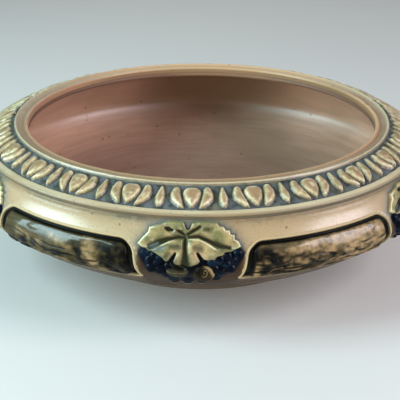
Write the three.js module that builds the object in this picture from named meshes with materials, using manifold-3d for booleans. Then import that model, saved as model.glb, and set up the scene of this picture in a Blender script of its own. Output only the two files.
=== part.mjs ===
// A low earthenware centerpiece bowl: a body with a foot ring, a lip ring and a shoulder bead luted on, bark
// panels set in pockets round the belly, and moulded sprigs for the border and the vine medallions.
// Millimetres, +Z up, origin on the table at the middle of the foot, one medallion facing -Y.
import * as THREE from "three";
import { mergeVertices } from "three/addons/utils/BufferGeometryUtils.js";
import Module from "manifold-3d";

const wasm = await Module();
wasm.setup();

// Vessel
const overallHeight = 63;
const lipRidgeRadius = 90;
const lipWidth = 6;
const lipInnerFall = 0.8;
const lipDish = 1.1;
const lipEdge = 0.9;
const lipFaceHeight = 5;
const lipTongue = 2;
const lipStand = 2;
const borderWidth = 11.5;
const borderFall = 5.7;
const beadWidth = 3.4;
const beadStand = 1.1;
const beadSeatDepth = 2.4;
const bellyRadius = 112.2;
const bellyHeight = 35.5;
const shoulderRound = 7;
const bellyRound = 8;
const wall = 5.5;
const floorThickness = 5.5;
const footRadius = 65;
const footHeight = 4.5;
const footWidth = 7;
const footFlare = 1;
const footRun = 13;
const footRise = 0.8;

// Gap between a sprig, panel or ring and the clay beside it
const seatClearance = 0.3;

// Border of eggs, husks and darts
const medallionCount = 6;
const eggsPerMedallion = 4;
const eggWidth = 7.6;
const eggLength = 9.8;
const eggTaper = 0.35;
const huskWidth = 3.2;
const huskLength = 9.4;
const huskLean = 0.42;
const huskGap = 0.6;
const dartWidth = 3.6;
const dartLength = 9.2;
const dartMargin = 0.4;
const sprigHeight = 2;
const sprigPad = 0.6;

// Bark panels
const medallionWidth = 49;
const panelTop = 8.7;
const panelHeight = 18.7;
const panelCorner = 6;
const panelSplay = 3.4;
const pocketDepth = 1.7;
const panelGroove = 1.2;
const panelEdge = 0.9;
const panelCrown = 1.6;
const panelFlatAcross = 8;
const panelFlatUp = 4;
const barkRelief = 0.35;
const barkWave = 11;

// Vine leaf, grapes and rosette of a medallion
const leafWidth = 42.5;
const leafLength = 24;
const leafTop = 0.6;
const leafSeat = 0.6;
const leafHeight = 2;
const leafRim = 0.7;
const berryRadius = 2.6;
const berryHeight = 3.4;
const rosetteAcross = 5.7;
const rosetteDown = 22.3;
const rosetteRadius = 4.3;
const rosetteHeight = 3;
const rosetteRim = 1.2;
const rosettePetals = 5;
const rosetteWave = 0.4;

// How flat a dome stays before it falls to its rim: a larger power is flatter
const domeFlat = 3;

// Fineness of the facets
const ringSegments = 40;
const upperSteps = 5;
const lowerSteps = 8;
const innerSteps = 5;
const beadSteps = 5;
const panelColumns = 8;
const panelRows = 6;
const sprigSpokes = 6;
const sprigRings = 2;
const leafRings = 5;
const rosetteRings = 2;

// Heights and radii that follow from the driving dimensions
const lipInnerRadius = lipRidgeRadius - lipWidth;
const lipInnerTop = overallHeight - lipInnerFall;
const tongueBottom = lipInnerTop - lipFaceHeight;
const lipSeat = tongueBottom + lipTongue;
const borderInner = new THREE.Vector2(lipRidgeRadius + lipEdge, overallHeight - lipStand);
const borderOuter = new THREE.Vector2(borderInner.x + borderWidth, borderInner.y - borderFall);
const beadSeat = borderOuter.y - beadSeatDepth;
const flankTop = new THREE.Vector2(borderOuter.x + beadWidth, beadSeat);
const belly = new THREE.Vector2(bellyRadius, bellyHeight);
const footTop = new THREE.Vector2(footRadius - footFlare, footHeight);
const footInner = footRadius - footWidth;
const floorHeight = footHeight + floorThickness;
const sectorAngle = (2 * Math.PI) / medallionCount;
const eggAngle = sectorAngle / eggsPerMedallion;

const glazes = {
  body: new THREE.MeshStandardMaterial({ color: 0xb99a77, roughness: 0.45, metalness: 0 }),
  foot: new THREE.MeshStandardMaterial({ color: 0x8f6f55, roughness: 0.5, metalness: 0 }),
  lip: new THREE.MeshStandardMaterial({ color: 0xcdb58c, roughness: 0.4, metalness: 0 }),
  border: new THREE.MeshStandardMaterial({ color: 0xb9a57c, roughness: 0.42, metalness: 0 }),
  bark: new THREE.MeshStandardMaterial({ color: 0x5d4f36, roughness: 0.32, metalness: 0 }),
  leaf: new THREE.MeshStandardMaterial({ color: 0x9c9762, roughness: 0.4, metalness: 0 }),
  grape: new THREE.MeshStandardMaterial({ color: 0x141a30, roughness: 0.22, metalness: 0 }),
  rosette: new THREE.MeshStandardMaterial({ color: 0x9a8458, roughness: 0.4, metalness: 0 }),
};

// Outside of the body below the bead: a hollow shoulder, a rounded belly and a straight fall to the foot
const flank = new THREE.CurvePath();
flank.add(
  new THREE.CubicBezierCurve(
    flankTop,
    new THREE.Vector2(flankTop.x, flankTop.y - shoulderRound),
    new THREE.Vector2(belly.x, belly.y + shoulderRound),
    belly,
  ),
);
flank.add(
  new THREE.CubicBezierCurve(
    belly,
    new THREE.Vector2(belly.x, belly.y - bellyRound),
    new THREE.Vector2(footTop.x + footRun, footTop.y + footRise),
    footTop,
  ),
);
const flankLength = flank.getLength();

// Inside of the wall: out from under the lip, round the belly and down to the flat floor
const innerBelly = new THREE.Vector2(belly.x - wall, belly.y);
const innerShoulder = new THREE.CubicBezierCurve(
  new THREE.Vector2(lipInnerRadius, tongueBottom),
  new THREE.Vector2(borderInner.x + shoulderRound, tongueBottom - borderFall / 2),
  new THREE.Vector2(innerBelly.x, innerBelly.y + shoulderRound),
  innerBelly,
);
const innerBowl = new THREE.CubicBezierCurve(
  innerBelly,
  new THREE.Vector2(innerBelly.x, innerBelly.y - bellyRound),
  new THREE.Vector2(footTop.x + footRun, floorHeight + footRise),
  new THREE.Vector2(footInner, floorHeight),
);

// A vessel or ring turned about the bowl's axis from its half section
function turned(section) {
  return new THREE.LatheGeometry(section, ringSegments).rotateX(Math.PI / 2);
}

function solidOf(geometry) {
  const bare = geometry.clone();
  bare.deleteAttribute("normal");
  bare.deleteAttribute("uv");
  const merged = mergeVertices(bare);
  return new wasm.Manifold(
    new wasm.Mesh({
      numProp: 3,
      vertProperties: new Float32Array(merged.attributes.position.array),
      triVerts: new Uint32Array(merged.index.array),
    }),
  );
}

function geometryOf(solid) {
  const mesh = solid.getMesh();
  const geometry = new THREE.BufferGeometry();
  geometry.setAttribute("position", new THREE.BufferAttribute(mesh.vertProperties, 3));
  geometry.setIndex(new THREE.BufferAttribute(mesh.triVerts, 1));
  geometry.computeVertexNormals();
  return geometry;
}

// A point at a radius and height, at an angle round the bowl from its front
function atAngle(radius, height, angle) {
  return new THREE.Vector3(radius * Math.sin(angle), -radius * Math.cos(angle), height);
}

// A point on the flank: millimetres across at the belly, up from the bead (so negative), proud of the clay
function onFlank({ x, y, z }) {
  const share = THREE.MathUtils.clamp(-y / flankLength, 0, 1);
  const point = flank.getPoint(share);
  const along = flank.getTangent(share);
  return atAngle(point.x - along.y * z, point.y + along.x * z, x / bellyRadius);
}

// A point on the sloping border: millimetres across and up from its middle, and proud of the clay
const borderMiddle = borderInner.clone().add(borderOuter).multiplyScalar(0.5);
const borderFallLine = borderOuter.clone().sub(borderInner);
const borderLength = borderFallLine.length();
borderFallLine.normalize();
function onBorder({ x, y, z }) {
  const radius = borderMiddle.x - borderFallLine.x * y - borderFallLine.y * z;
  const height = borderMiddle.y - borderFallLine.y * y + borderFallLine.x * z;
  return atAngle(radius, height, x / borderMiddle.x);
}

// Lays a shape that was drawn flat, as seen from in front, onto the bowl
function laid(geometry, rule) {
  const position = geometry.attributes.position;
  const point = new THREE.Vector3();
  for (let i = 0; i < position.count; i++) {
    point.fromBufferAttribute(position, i);
    position.setXYZ(i, ...rule(point));
  }
  return geometry;
}

// A low dome on a closed outline: a sphere whose meridians reach to the outline, with a flat underside
// and an upright rim
function dome(outline, centre, spokes, rings, { seat, height, rim }) {
  const geometry = new THREE.SphereGeometry(1, spokes, 2 * rings);
  const position = geometry.attributes.position;
  const uv = geometry.attributes.uv;
  for (let i = 0; i < position.count; i++) {
    const level = Math.round((1 - uv.getY(i)) * 2 * rings);
    const onTop = level <= rings;
    const reach = onTop ? level / rings : Math.min(1, (2 * rings - level) / (rings - 1));
    const spoke = Math.max(0, Math.round(uv.getX(i) * spokes));
    const point = centre.clone().lerp(outline(spoke / spokes), reach);
    const crown = (height - rim) * Math.sqrt(1 - reach ** domeFlat);
    position.setXYZ(i, point.x, point.y, onTop ? seat + rim + crown : seat);
  }
  return geometry;
}

// An outline moved out from its centre
function grown(outline, centre, by) {
  return (share) => {
    const edge = outline(share);
    return edge.clone().add(edge.clone().sub(centre).setLength(by));
  };
}

// An egg or spindle, narrower towards the bead, leaning by an angle
function ovalOutline(middle, width, length, taper, lean) {
  return (share) => {
    const turn = share * 2 * Math.PI;
    const across = 0.5 * width * Math.cos(turn) * (1 + taper * Math.sin(turn));
    const point = new THREE.Vector2(across, 0.5 * length * Math.sin(turn));
    return point.rotateAround(new THREE.Vector2(), lean).add(middle);
  };
}

// Body: wall and floor in one, with a seat for the lip, a slope for the border and a rabbet for the bead
function bodySection() {
  return [
    new THREE.Vector2(0, footHeight),
    new THREE.Vector2(footInner, footHeight),
    ...flank.curves[1].getPoints(lowerSteps).reverse(),
    ...flank.curves[0].getPoints(upperSteps).reverse().slice(1),
    new THREE.Vector2(borderOuter.x, beadSeat),
    borderOuter,
    borderInner,
    new THREE.Vector2(borderInner.x, lipSeat),
    new THREE.Vector2(lipInnerRadius, lipSeat),
    ...innerShoulder.getPoints(innerSteps),
    ...innerBowl.getPoints(innerSteps).slice(1),
    new THREE.Vector2(0, floorHeight),
  ];
}

// Foot ring: a flared band under the floor
function footSection() {
  return [
    new THREE.Vector2(footInner + footFlare, 0),
    new THREE.Vector2(footRadius - footFlare / 2, 0),
    new THREE.Vector2(footRadius, footFlare / 2),
    footTop,
    new THREE.Vector2(footInner, footHeight),
    new THREE.Vector2(footInner + footFlare, 0),
  ];
}

// Lip ring: a dished rim with an outer and an inner ridge, seated on the wall's tongue
function lipSection() {
  const outer = borderInner.x - seatClearance;
  return [
    new THREE.Vector2(lipInnerRadius, lipSeat),
    new THREE.Vector2(outer, lipSeat),
    new THREE.Vector2(outer, overallHeight - lipEdge),
    new THREE.Vector2(lipRidgeRadius, overallHeight),
    new THREE.Vector2(lipRidgeRadius - lipEdge, overallHeight - lipDish / 4),
    new THREE.Vector2(lipRidgeRadius - lipWidth / 2, overallHeight - lipDish),
    new THREE.Vector2(lipInnerRadius + lipEdge, lipInnerTop),
    new THREE.Vector2(lipInnerRadius, lipInnerTop - lipEdge),
    new THREE.Vector2(lipInnerRadius, lipSeat),
  ];
}

// Shoulder bead: a half-round moulding seated in the rabbet
function beadSection() {
  const inner = borderOuter.x + seatClearance;
  const centre = new THREE.Vector2((inner + flankTop.x) / 2, borderOuter.y - beadStand);
  const section = [new THREE.Vector2(inner, beadSeat), new THREE.Vector2(flankTop.x, beadSeat)];
  for (let i = 0; i <= beadSteps; i++) {
    const turn = (Math.PI * i) / beadSteps;
    const out = (0.5 * (flankTop.x - inner)) * Math.cos(turn);
    section.push(new THREE.Vector2(centre.x + out, centre.y + 2 * beadStand * Math.sin(turn)));
  }
  section.push(section[0]);
  return section;
}

// A place inside a panel, from -1 to 1 across and up: the top corners are round, and the ends splay
// towards the foot
const panelHalfWidth = (bellyRadius * sectorAngle - medallionWidth) / 2;
function panelPlace(x, y, shrink) {
  const corner = panelCorner - shrink;
  const halfHeight = panelHeight / 2 - shrink;
  const halfWidth = panelHalfWidth - shrink + (panelSplay * (1 - y)) / 2;
  const place = new THREE.Vector2(Math.abs(x) * halfWidth, y * halfHeight);
  const inner = new THREE.Vector2(halfWidth - corner, halfHeight - corner);
  const past = place.clone().sub(inner);
  if (past.x > 0 && past.y > 0) {
    place.copy(past).setLength(Math.max(past.x, past.y)).add(inner);
  }
  return new THREE.Vector2(Math.sign(x) * place.x, place.y - panelTop - panelHeight / 2);
}

// A slab over a panel's outline, with its columns closer together towards the ends
function panelSlab(shrink, bottom, top) {
  const slab = new THREE.BoxGeometry(2, 2, 2, panelColumns, panelRows, 1);
  return laid(slab, ({ x, y, z }) => {
    const place = panelPlace(Math.sin((x * Math.PI) / 2), y, shrink);
    return onFlank({ x: place.x, y: place.y, z: z > 0 ? top(x, y, place) : bottom });
  });
}

function pocketCutter() {
  return panelSlab(0, -pocketDepth, () => pocketDepth + panelCrown);
}

// Bark panel: crowned in the middle, low at its edges, with shallow crossing furrows
function barkPanel() {
  const bark = (x, y, place) => {
    const crown = (1 - x ** panelFlatAcross) * (1 - y ** panelFlatUp);
    const along = (2 * Math.PI * place.x) / barkWave;
    const up = (2 * Math.PI * place.y) / barkWave;
    const furrow = Math.sin(along + Math.sin(up)) * Math.cos(up - along / 2);
    return crown * (panelCrown + panelEdge + barkRelief * furrow) - panelEdge;
  };
  return panelSlab(panelGroove, seatClearance - pocketDepth, bark);
}

// Border sprig: an egg between two husks, and a dart to the right, on a thin pad
function borderSprig() {
  const pitch = borderMiddle.x * eggAngle;
  const padWidth = (pitch - 2 * seatClearance) * (borderInner.x / borderMiddle.x);
  const padLength = borderLength - 2 * seatClearance;
  const pad = new THREE.BoxGeometry(padWidth, padLength, sprigPad, 3, 1, 1);
  pad.translate(dartWidth / 2 + dartMargin, 0, seatClearance + sprigPad / 2);
  const huskOffset = (eggWidth + huskWidth) / 2 + huskGap;
  const forms = [
    [new THREE.Vector2(), eggWidth, eggLength, eggTaper, 0],
    [new THREE.Vector2(-huskOffset, 0), huskWidth, huskLength, 0, huskLean],
    [new THREE.Vector2(huskOffset, 0), huskWidth, huskLength, 0, -huskLean],
    [new THREE.Vector2(pitch / 2, 0), dartWidth, dartLength, 0, 0],
  ];
  const sunk = sprigPad / 2;
  const levels = { seat: seatClearance + sunk, height: sprigHeight - sunk, rim: sprigPad };
  let sprig = solidOf(laid(pad, onBorder));
  for (const [middle, ...oval] of forms) {
    const form = dome(ovalOutline(middle, ...oval), middle, sprigSpokes, sprigRings, levels);
    sprig = sprig.add(solidOf(laid(form, onBorder)));
  }
  return geometryOf(sprig);
}

// Outline of the vine leaf from the notch at its stalk, round by the left, in half widths and lengths
const leafOutlinePoints = [
  [-0.05, -0.1], [-0.14, 0], [-0.45, 0], [-0.82, -0.11], [-1, -0.41], [-0.72, -0.54], [-0.45, -0.66],
  [-0.4, -0.86], [-0.22, -1], [-0.07, -0.88], [0.02, -0.72], [0.35, -0.63], [0.64, -0.55], [1, -0.42],
  [0.83, -0.2], [0.56, -0.03], [0.26, 0], [0.05, 0],
];
const leafSpokes = leafOutlinePoints.length;
const leafCentre = onLeaf([-0.05, -0.33]);

function onLeaf([x, y]) {
  return new THREE.Vector2((x * leafWidth) / 2, y * leafLength - leafTop);
}

function leafOutline(share) {
  return onLeaf(leafOutlinePoints[Math.round(share * leafSpokes) % leafSpokes]);
}

const rosetteCentre = new THREE.Vector2(rosetteAcross, -rosetteDown);
const rosetteSpokes = 2 * rosettePetals;
function rosetteOutline(share) {
  const turn = share * 2 * Math.PI;
  const radius = rosetteRadius + rosetteWave * Math.cos(rosettePetals * turn);
  return new THREE.Vector2(radius * Math.cos(turn), radius * Math.sin(turn)).add(rosetteCentre);
}

// Room for a sprig through whatever lies under it, with its clearance
const throughHeight = 4 * berryHeight;
function roomFor(outline, centre, spokes, rings) {
  const wider = grown(outline, centre, 2 * seatClearance);
  const levels = { seat: -berryHeight, height: throughHeight, rim: throughHeight };
  return solidOf(laid(dome(wider, centre, spokes, rings, levels), onFlank));
}

const leafRoom = roomFor(leafOutline, leafCentre, leafSpokes, leafRings);
const rosetteRoom = roomFor(rosetteOutline, rosetteCentre, rosetteSpokes, rosetteRings);

function vineLeaf() {
  const levels = { seat: leafSeat, height: leafHeight, rim: leafRim };
  const leaf = dome(leafOutline, leafCentre, leafSpokes, leafRings, levels);
  return geometryOf(solidOf(laid(leaf, onFlank)).subtract(rosetteRoom));
}

function rosette() {
  const levels = { seat: seatClearance, height: rosetteHeight, rim: rosetteRim };
  return laid(dome(rosetteOutline, rosetteCentre, rosetteSpokes, rosetteRings, levels), onFlank);
}

// Berries of the two clusters, in berry radii from a place under the leaf's side lobe
const leftBerries = {
  from: [-0.59, -0.77],
  at: [[-1.6, 1.2], [-0.2, 0.8], [-1, -0.2], [0.4, -0.65], [1.3, -1.8], [2.3, -2.9]],
};
const rightBerries = {
  from: [0.66, -0.75],
  at: [[1.45, 1.1], [0.05, 0.7], [-1.25, 0], [0.65, -0.55], [-0.65, -1.25], [-1.5, -2.45]],
};

// Grape cluster: flattened berries run together, cut back where the leaf and the rosette lie on them
function grapeCluster({ from, at }) {
  const start = onLeaf(from);
  const berries = at.map(([x, y]) => {
    const berry = new THREE.IcosahedronGeometry(berryRadius).scale(1, 1, berryHeight / (2 * berryRadius));
    berry.translate(start.x + x * berryRadius, start.y + y * berryRadius, seatClearance + berryHeight / 2);
    return solidOf(laid(berry, onFlank));
  });
  const cluster = berries.reduce((joined, berry) => joined.add(berry));
  return geometryOf(cluster.subtract(leafRoom).subtract(rosetteRoom));
}

// The body with a pocket for each panel
function bodyWithPockets() {
  let body = solidOf(turned(bodySection()));
  for (let k = 0; k < medallionCount; k++) {
    body = body.subtract(solidOf(pocketCutter().rotateZ((k + 0.5) * sectorAngle)));
  }
  return geometryOf(body);
}

const bowl = new THREE.Group();

function piece(name, geometry, glaze, angle = 0) {
  const mesh = new THREE.Mesh(geometry, glazes[glaze]);
  mesh.name = name;
  mesh.rotation.z = angle;
  bowl.add(mesh);
}

piece("bowl_body", bodyWithPockets(), "body");
piece("foot_ring", turned(footSection()), "foot");
piece("lip_ring", turned(lipSection()), "lip");
piece("shoulder_bead", turned(beadSection()), "lip");

const sprigShape = borderSprig();
for (let k = 0; k < medallionCount * eggsPerMedallion; k++) {
  piece(`egg_sprig_${String(k + 1).padStart(2, "0")}`, sprigShape, "border", k * eggAngle);
}

const medallionShapes = {
  vine_leaf: [vineLeaf(), "leaf"],
  grapes_left: [grapeCluster(leftBerries), "grape"],
  grapes_right: [grapeCluster(rightBerries), "grape"],
  rosette: [rosette(), "rosette"],
};
const panelShape = barkPanel();
for (let k = 0; k < medallionCount; k++) {
  for (const [name, [shape, glaze]] of Object.entries(medallionShapes)) {
    piece(`${name}_${k + 1}`, shape, glaze, k * sectorAngle);
  }
  piece(`bark_panel_${k + 1}`, panelShape, "bark", (k + 0.5) * sectorAngle);
}

export default bowl;
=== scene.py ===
"""Earthenware centerpiece bowl: its glazed clay pieces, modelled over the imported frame."""

import math

import bmesh
import bpy
import numpy as np
from bpy.props import FloatProperty, FloatVectorProperty, IntProperty, PointerProperty
from mathutils import Matrix, Vector, noise


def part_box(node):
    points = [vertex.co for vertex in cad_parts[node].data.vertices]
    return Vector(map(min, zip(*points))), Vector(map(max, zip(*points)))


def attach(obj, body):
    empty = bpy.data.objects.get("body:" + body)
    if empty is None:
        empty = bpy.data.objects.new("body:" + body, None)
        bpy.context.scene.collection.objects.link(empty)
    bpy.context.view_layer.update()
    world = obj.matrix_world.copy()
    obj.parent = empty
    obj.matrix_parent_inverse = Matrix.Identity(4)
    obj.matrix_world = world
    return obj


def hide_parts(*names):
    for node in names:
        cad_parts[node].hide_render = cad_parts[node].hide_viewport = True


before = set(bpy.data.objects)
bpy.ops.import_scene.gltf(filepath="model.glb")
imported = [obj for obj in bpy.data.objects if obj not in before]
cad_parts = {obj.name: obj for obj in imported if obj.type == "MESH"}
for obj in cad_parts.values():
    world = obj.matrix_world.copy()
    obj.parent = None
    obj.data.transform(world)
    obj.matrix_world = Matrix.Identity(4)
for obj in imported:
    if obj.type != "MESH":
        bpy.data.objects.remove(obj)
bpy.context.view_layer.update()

bl_info = {
    "name": "Earthenware Centerpiece Bowl",
    "version": (1, 0, 0),
    "blender": (4, 5, 0),
    "location": "View3D > Sidebar > Bowl",
    "description": "A low glazed bowl with an egg-and-dart border, bark panels and vine medallions",
    "category": "Object",
}

MM = 0.001

# Points closer than this are one point, and edges that turn more than this stay sharp
WELD = 0.001 * MM
SHARP = math.radians(60)

# What the frame says of the turned members
LIP_LOW, LIP_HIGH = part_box("lip_ring")
BEAD_LOW, BEAD_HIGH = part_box("shoulder_bead")
_, BODY_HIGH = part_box("bowl_body")
_, FOOT_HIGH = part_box("foot_ring")
MEDALLIONS = sum(name.startswith("vine_leaf_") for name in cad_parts)
SPRIGS = sum(name.startswith("egg_sprig_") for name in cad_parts)
MEDALLION_TURN = 2 * math.pi / MEDALLIONS
SPRIG_TURN = 2 * math.pi / SPRIGS

# How far down the flank the ornament reaches, where the body's points lie closer together, and how
# strongly its points crowd round towards the medallions
ORNAMENTED = 34 * MM
CROWDING = 0.45

# How close to the flank, and to a level, a point of the body counts as on it
ON_FLANK, ON_LEVEL = 0.2 * MM, 0.1 * MM

# Strokes are chains of discs: millimetres across from the middle, millimetres down (up on the border), and
# the disc's radius. A form is raised inside its stroke, and a vein, slit or notch is cut along it.
EGG = [
    (0, -4.1, 0.95), (0, -2.2, 2.1), (-0.4, -0.3, 2.8), (-0.9, 2.35, 3.05),
    (0.9, 2.35, 3.05), (0.4, -0.3, 2.8), (0, -2.2, 2.1),
]
HUSK = [
    (6.5, 4.0, 1.65), (6.65, 1.8, 2.15), (6.3, -0.3, 2.25),
    (5.25, -2.3, 1.8), (4.2, -4.0, 1.15), (3.5, -4.9, 0.55),
]
DART = [(0, 5.0, 0.7), (0, 2.4, 1.45), (0, -0.6, 2.0), (0, -2.8, 1.6), (0, -4.3, 0.85)]

# Share of a form's height that it gains at once, at its outline
SPRIG_FOOT = 0.08

LEAF_EDGE = [
    (-1, 2.9), (-2.9, 0.3), (-6, 0), (-9.5, 0.2), (-13.2, 1.7), (-17.3, 3), (-17.6, 5.1), (-19.8, 7.7),
    (-21.7, 10.2), (-19.4, 11.6), (-18.2, 11.8), (-16.6, 12.9), (-15.6, 12.8), (-13.6, 13.6), (-11, 15),
    (-9.6, 16.6), (-7.4, 15.9), (-5.6, 17.3), (-2.4, 18.4), (-0.3, 18.3), (3.2, 16.9), (4.6, 15.2),
    (7.5, 15.6), (10, 15.3), (10.9, 14.2), (13.2, 13.8), (14, 12.7), (16.3, 12.6), (20.8, 10.6),
    (19.7, 8.3), (18.2, 7.5), (18.4, 5.8), (16.6, 5.4), (16.3, 3.7), (14.6, 3.6), (13.8, 2.1),
    (12, 1.9), (11.2, 0.5), (7, 0.2), (3, 0), (0.9, 0.3),
]
LEAF_MIDDLE = (-1.0, 8.5)

# Half width and half height of the oval over which the leaf swells
LEAF_OVAL = (20, 9.6)

# The leaf's cut veins, pits, folds, dark patches and blue-grey stains
LEAF_VEINS = [
    [(-2.4, 6.7, 0.25), (-5, 6.6, 0.45), (-9, 7.6, 0.65), (-12.6, 9.2, 1.0), (-16.4, 10.9, 0.9)],
    [(-0.6, 6.4, 0.25), (3.7, 6.2, 0.5), (7, 7.7, 0.65), (11.8, 10, 0.75), (16.2, 10.9, 0.5)],
    [(-1.9, 6.4, 0.25), (-2, 10.8, 0.55), (-1.9, 14.5, 0.9), (-1.8, 18.6, 1.5)],
    [(-2.1, 6, 0.2), (-3.6, 4.7, 0.3), (-5.2, 3.9, 0.15)],
    [(-1.2, 5.6, 0.2), (1.2, 3.9, 0.4), (3.9, 2.2, 0.25)],
]
LEAF_PITS = [
    [(-10.4, 3.1, 0.35), (-9, 3.5, 0.8), (-7.5, 3.8, 0.3)],
    [(-1, -1, 1.6), (-1, 2.4, 0.8)],
    [(-5.9, 13.2, 0.35), (-6.8, 15, 0.65), (-8.4, 17.6, 0.8)],
    [(3.1, 12.9, 0.35), (4.2, 14.7, 0.6), (6, 17.2, 0.9)],
]
LEAF_FOLDS = [
    [(-6.2, 8.0, 0.2), (-8.6, 8.9, 0.35), (-11.6, 10.3, 0.4), (-13.6, 11.7, 0.25)],
    [(0.2, 7.6, 0.25), (3.6, 7.6, 0.4), (6.4, 8.9, 0.5), (10, 11.3, 0.35)],
]
LEAF_DARK_PATCHES = [
    [(-7.6, 10.5, 0.7), (-5, 10.9, 0.8)],
    [(1.8, 10.8, 0.7), (4.6, 11.5, 0.8)],
    [(5.8, 3.2, 0.5), (7.2, 3.0, 0.5)],
    [(-8.4, 13.4, 0.4), (-9.6, 14.4, 0.5)],
]
LEAF_STAINS = [
    [(-16.6, 10.9, 0.5), (-13.4, 9.6, 0.5)],
    [(-14.6, 11.6, 0.6), (-12.4, 11.6, 1.1), (-10.6, 11.4, 0.7)],
]

# The leaf's curled tip, an oval: its middle, half width and half height, height, the line of light across
# it, and the hollow in it
CURL_MIDDLE = (-4.9, 20.0)
CURL_HALF = (4.7, 2.7)
CURL_HEIGHT = 2.5
CURL_LIGHT = 19.7
CURL_PIT_DEPTH = 0.9
CURL_PIT = [(-7.4, 18.5, 0.5), (-5.2, 18.2, 0.7), (-2.6, 18.7, 0.5)]

# The eye of the rosette's spiral: to the right and down from its middle, as shares of its radius
ROSETTE_EYE = (0.08, -0.42)

# Middles of the grapes, and how far down the low ones begin
GRAPES = {
    "left": [
        (-18.4, 13.9), (-16, 16.2), (-13.4, 17.6), (-11.9, 20.2), (-14.3, 14.6), (-9.7, 22.9),
        (-15.4, 19.4), (-8.6, 18.4), (-12.2, 15.6), (-7.2, 26.2), (-6.8, 30), (-1.2, 29.6),
    ],
    "right": [
        (8.8, 16.6), (11.8, 15.4), (17.4, 15.8), (19.4, 13.5), (14.7, 17.4), (12.4, 20.7),
        (10.6, 24.4), (16.4, 19.4), (15, 14.2), (9.6, 19.4), (4.7, 29.8),
    ],
}
LOW_BERRIES = 28.0

# How deep the middle of a grape lies in the flank, and how much grapes differ, as shares of their radius
BERRY_SINK, BERRY_VARY = 0.33, 0.1

# The dark clay the grapes lie in; between curl and rosette and under the leaf's slits it is painted shadow
GRAPE_BED_AND_SHADE = [
    [(-18.4, 13.6, 2.4), (-14, 17, 4.0), (-9.6, 21.6, 3.8), (-6, 26, 3.0), (-1, 28.2, 2.8)],
    [(19.2, 13.6, 2.4), (15, 16.6, 3.8), (11, 20.4, 3.8), (9, 24.6, 3.0), (4.4, 28.4, 2.6)],
    [(-0.8, 26, 3.0), (0.6, 21.4, 2.6), (3.6, 17.4, 2.0)],
    [(-6.4, 14.2, 0.9), (-8.6, 17.4, 1.6)],
    [(3.6, 13.8, 0.9), (6, 17.2, 1.6)],
]

# Where the two slabs of a bed meet, and the half width and half height of each
BED_MIDDLE = (0.6, 21.5)
BED_HALF = (11, 10.5)

# Chips in the lip: degrees round from the front, millimetres out from the middle, half length, half width
LIP_CHIPS = [(104, 85.2, 1.7, 0.8), (-77.5, 85.4, 0.7, 0.7)]

# Where the bark was wiped back to the clay, and where its glaze is darkest, placed like the strokes above
# from the middle of a panel. Two ways take turns round the bowl.
WIPED = (
    [
        [(-17, 13.6, 0.9), (-13, 14, 1.6), (-7, 13.4, 2.4), (1, 14.4, 2.2)],
        [(4, 12.6, 2.2), (12, 12.8, 3.4), (20, 13.4, 3.8), (27, 14.6, 3.0)],
        [(9, 17, 1.6), (17, 17.4, 2.4), (25, 18.4, 2.0)],
        [(-14.5, 18.2, 0.4), (-12, 19, 0.8), (-10, 19.4, 0.3)],
        [(2, 22.6, 0.8), (12, 22.4, 1.4), (22, 22, 1.2)],
    ],
    [
        [(15.4, 12.6, 1.8), (16.4, 16.4, 2.6), (17.6, 21.6, 2.0)],
        [(-22, 16.6, 0.7), (-15, 17.4, 0.8), (-9, 18.2, 0.4)],
        [(-4, 14.4, 0.4), (1, 15.2, 0.9), (6, 16.4, 0.5)],
        [(19, 22.8, 0.8), (22, 23.6, 1.0)],
        [(-14, 22.6, 0.6), (-5, 22.8, 0.9), (5, 23, 0.7)],
    ],
)
SMOKED = (
    [
        [(-34, 12, 3.0), (-27, 17, 5.0), (-24, 23, 6.0)],
        [(-17, 19, 2.0), (-8, 20.4, 2.6), (2, 20.6, 2.0), (10, 19.8, 1.2)],
        [(14, 20.4, 0.7), (20, 20.2, 1.4), (25, 20.8, 0.6)],
        [(-18, 24.8, 1.6), (0, 25.6, 1.4), (20, 25.6, 1.2)],
    ],
    [
        [(24, 12, 3.0), (28, 16, 4.6), (31, 22, 5.0)],
        [(22, 18, 2.2), (24, 22, 2.0)],
        [(10, 14.6, 1.4), (11, 19, 2.2), (10.4, 23.4, 2.2)],
        [(-18, 20.4, 1.4), (-8, 20.8, 1.6), (2, 20.2, 1.6)],
        [(-27, 22.8, 2.0), (-12, 25.2, 1.8), (8, 25.8, 1.4)],
    ],
)


def length(name, default, description):
    """A size that a user may change, in metres."""
    return FloatProperty(
        name=name, description=description, default=default, min=0.0, precision=5,
        unit="LENGTH", subtype="DISTANCE",
    )


def count(name, default, description):
    """A number of parts or steps that a user may change."""
    return IntProperty(name=name, description=description, default=default, min=1)


def linear(*channels):
    """A colour given in screen values from 0 to 255, as the linear values that shaders use."""
    shares = [channel / 255 for channel in channels]
    light = [s / 12.92 if s <= 0.04045 else ((s + 0.055) / 1.055) ** 2.4 for s in shares]
    return (*light, 1.0)


def tone(name, channels, description):
    """A glaze colour that a user may change."""
    return FloatVectorProperty(
        name=name, description=description, default=linear(*channels), size=4,
        min=0.0, max=1.0, subtype="COLOR",
    )


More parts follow.
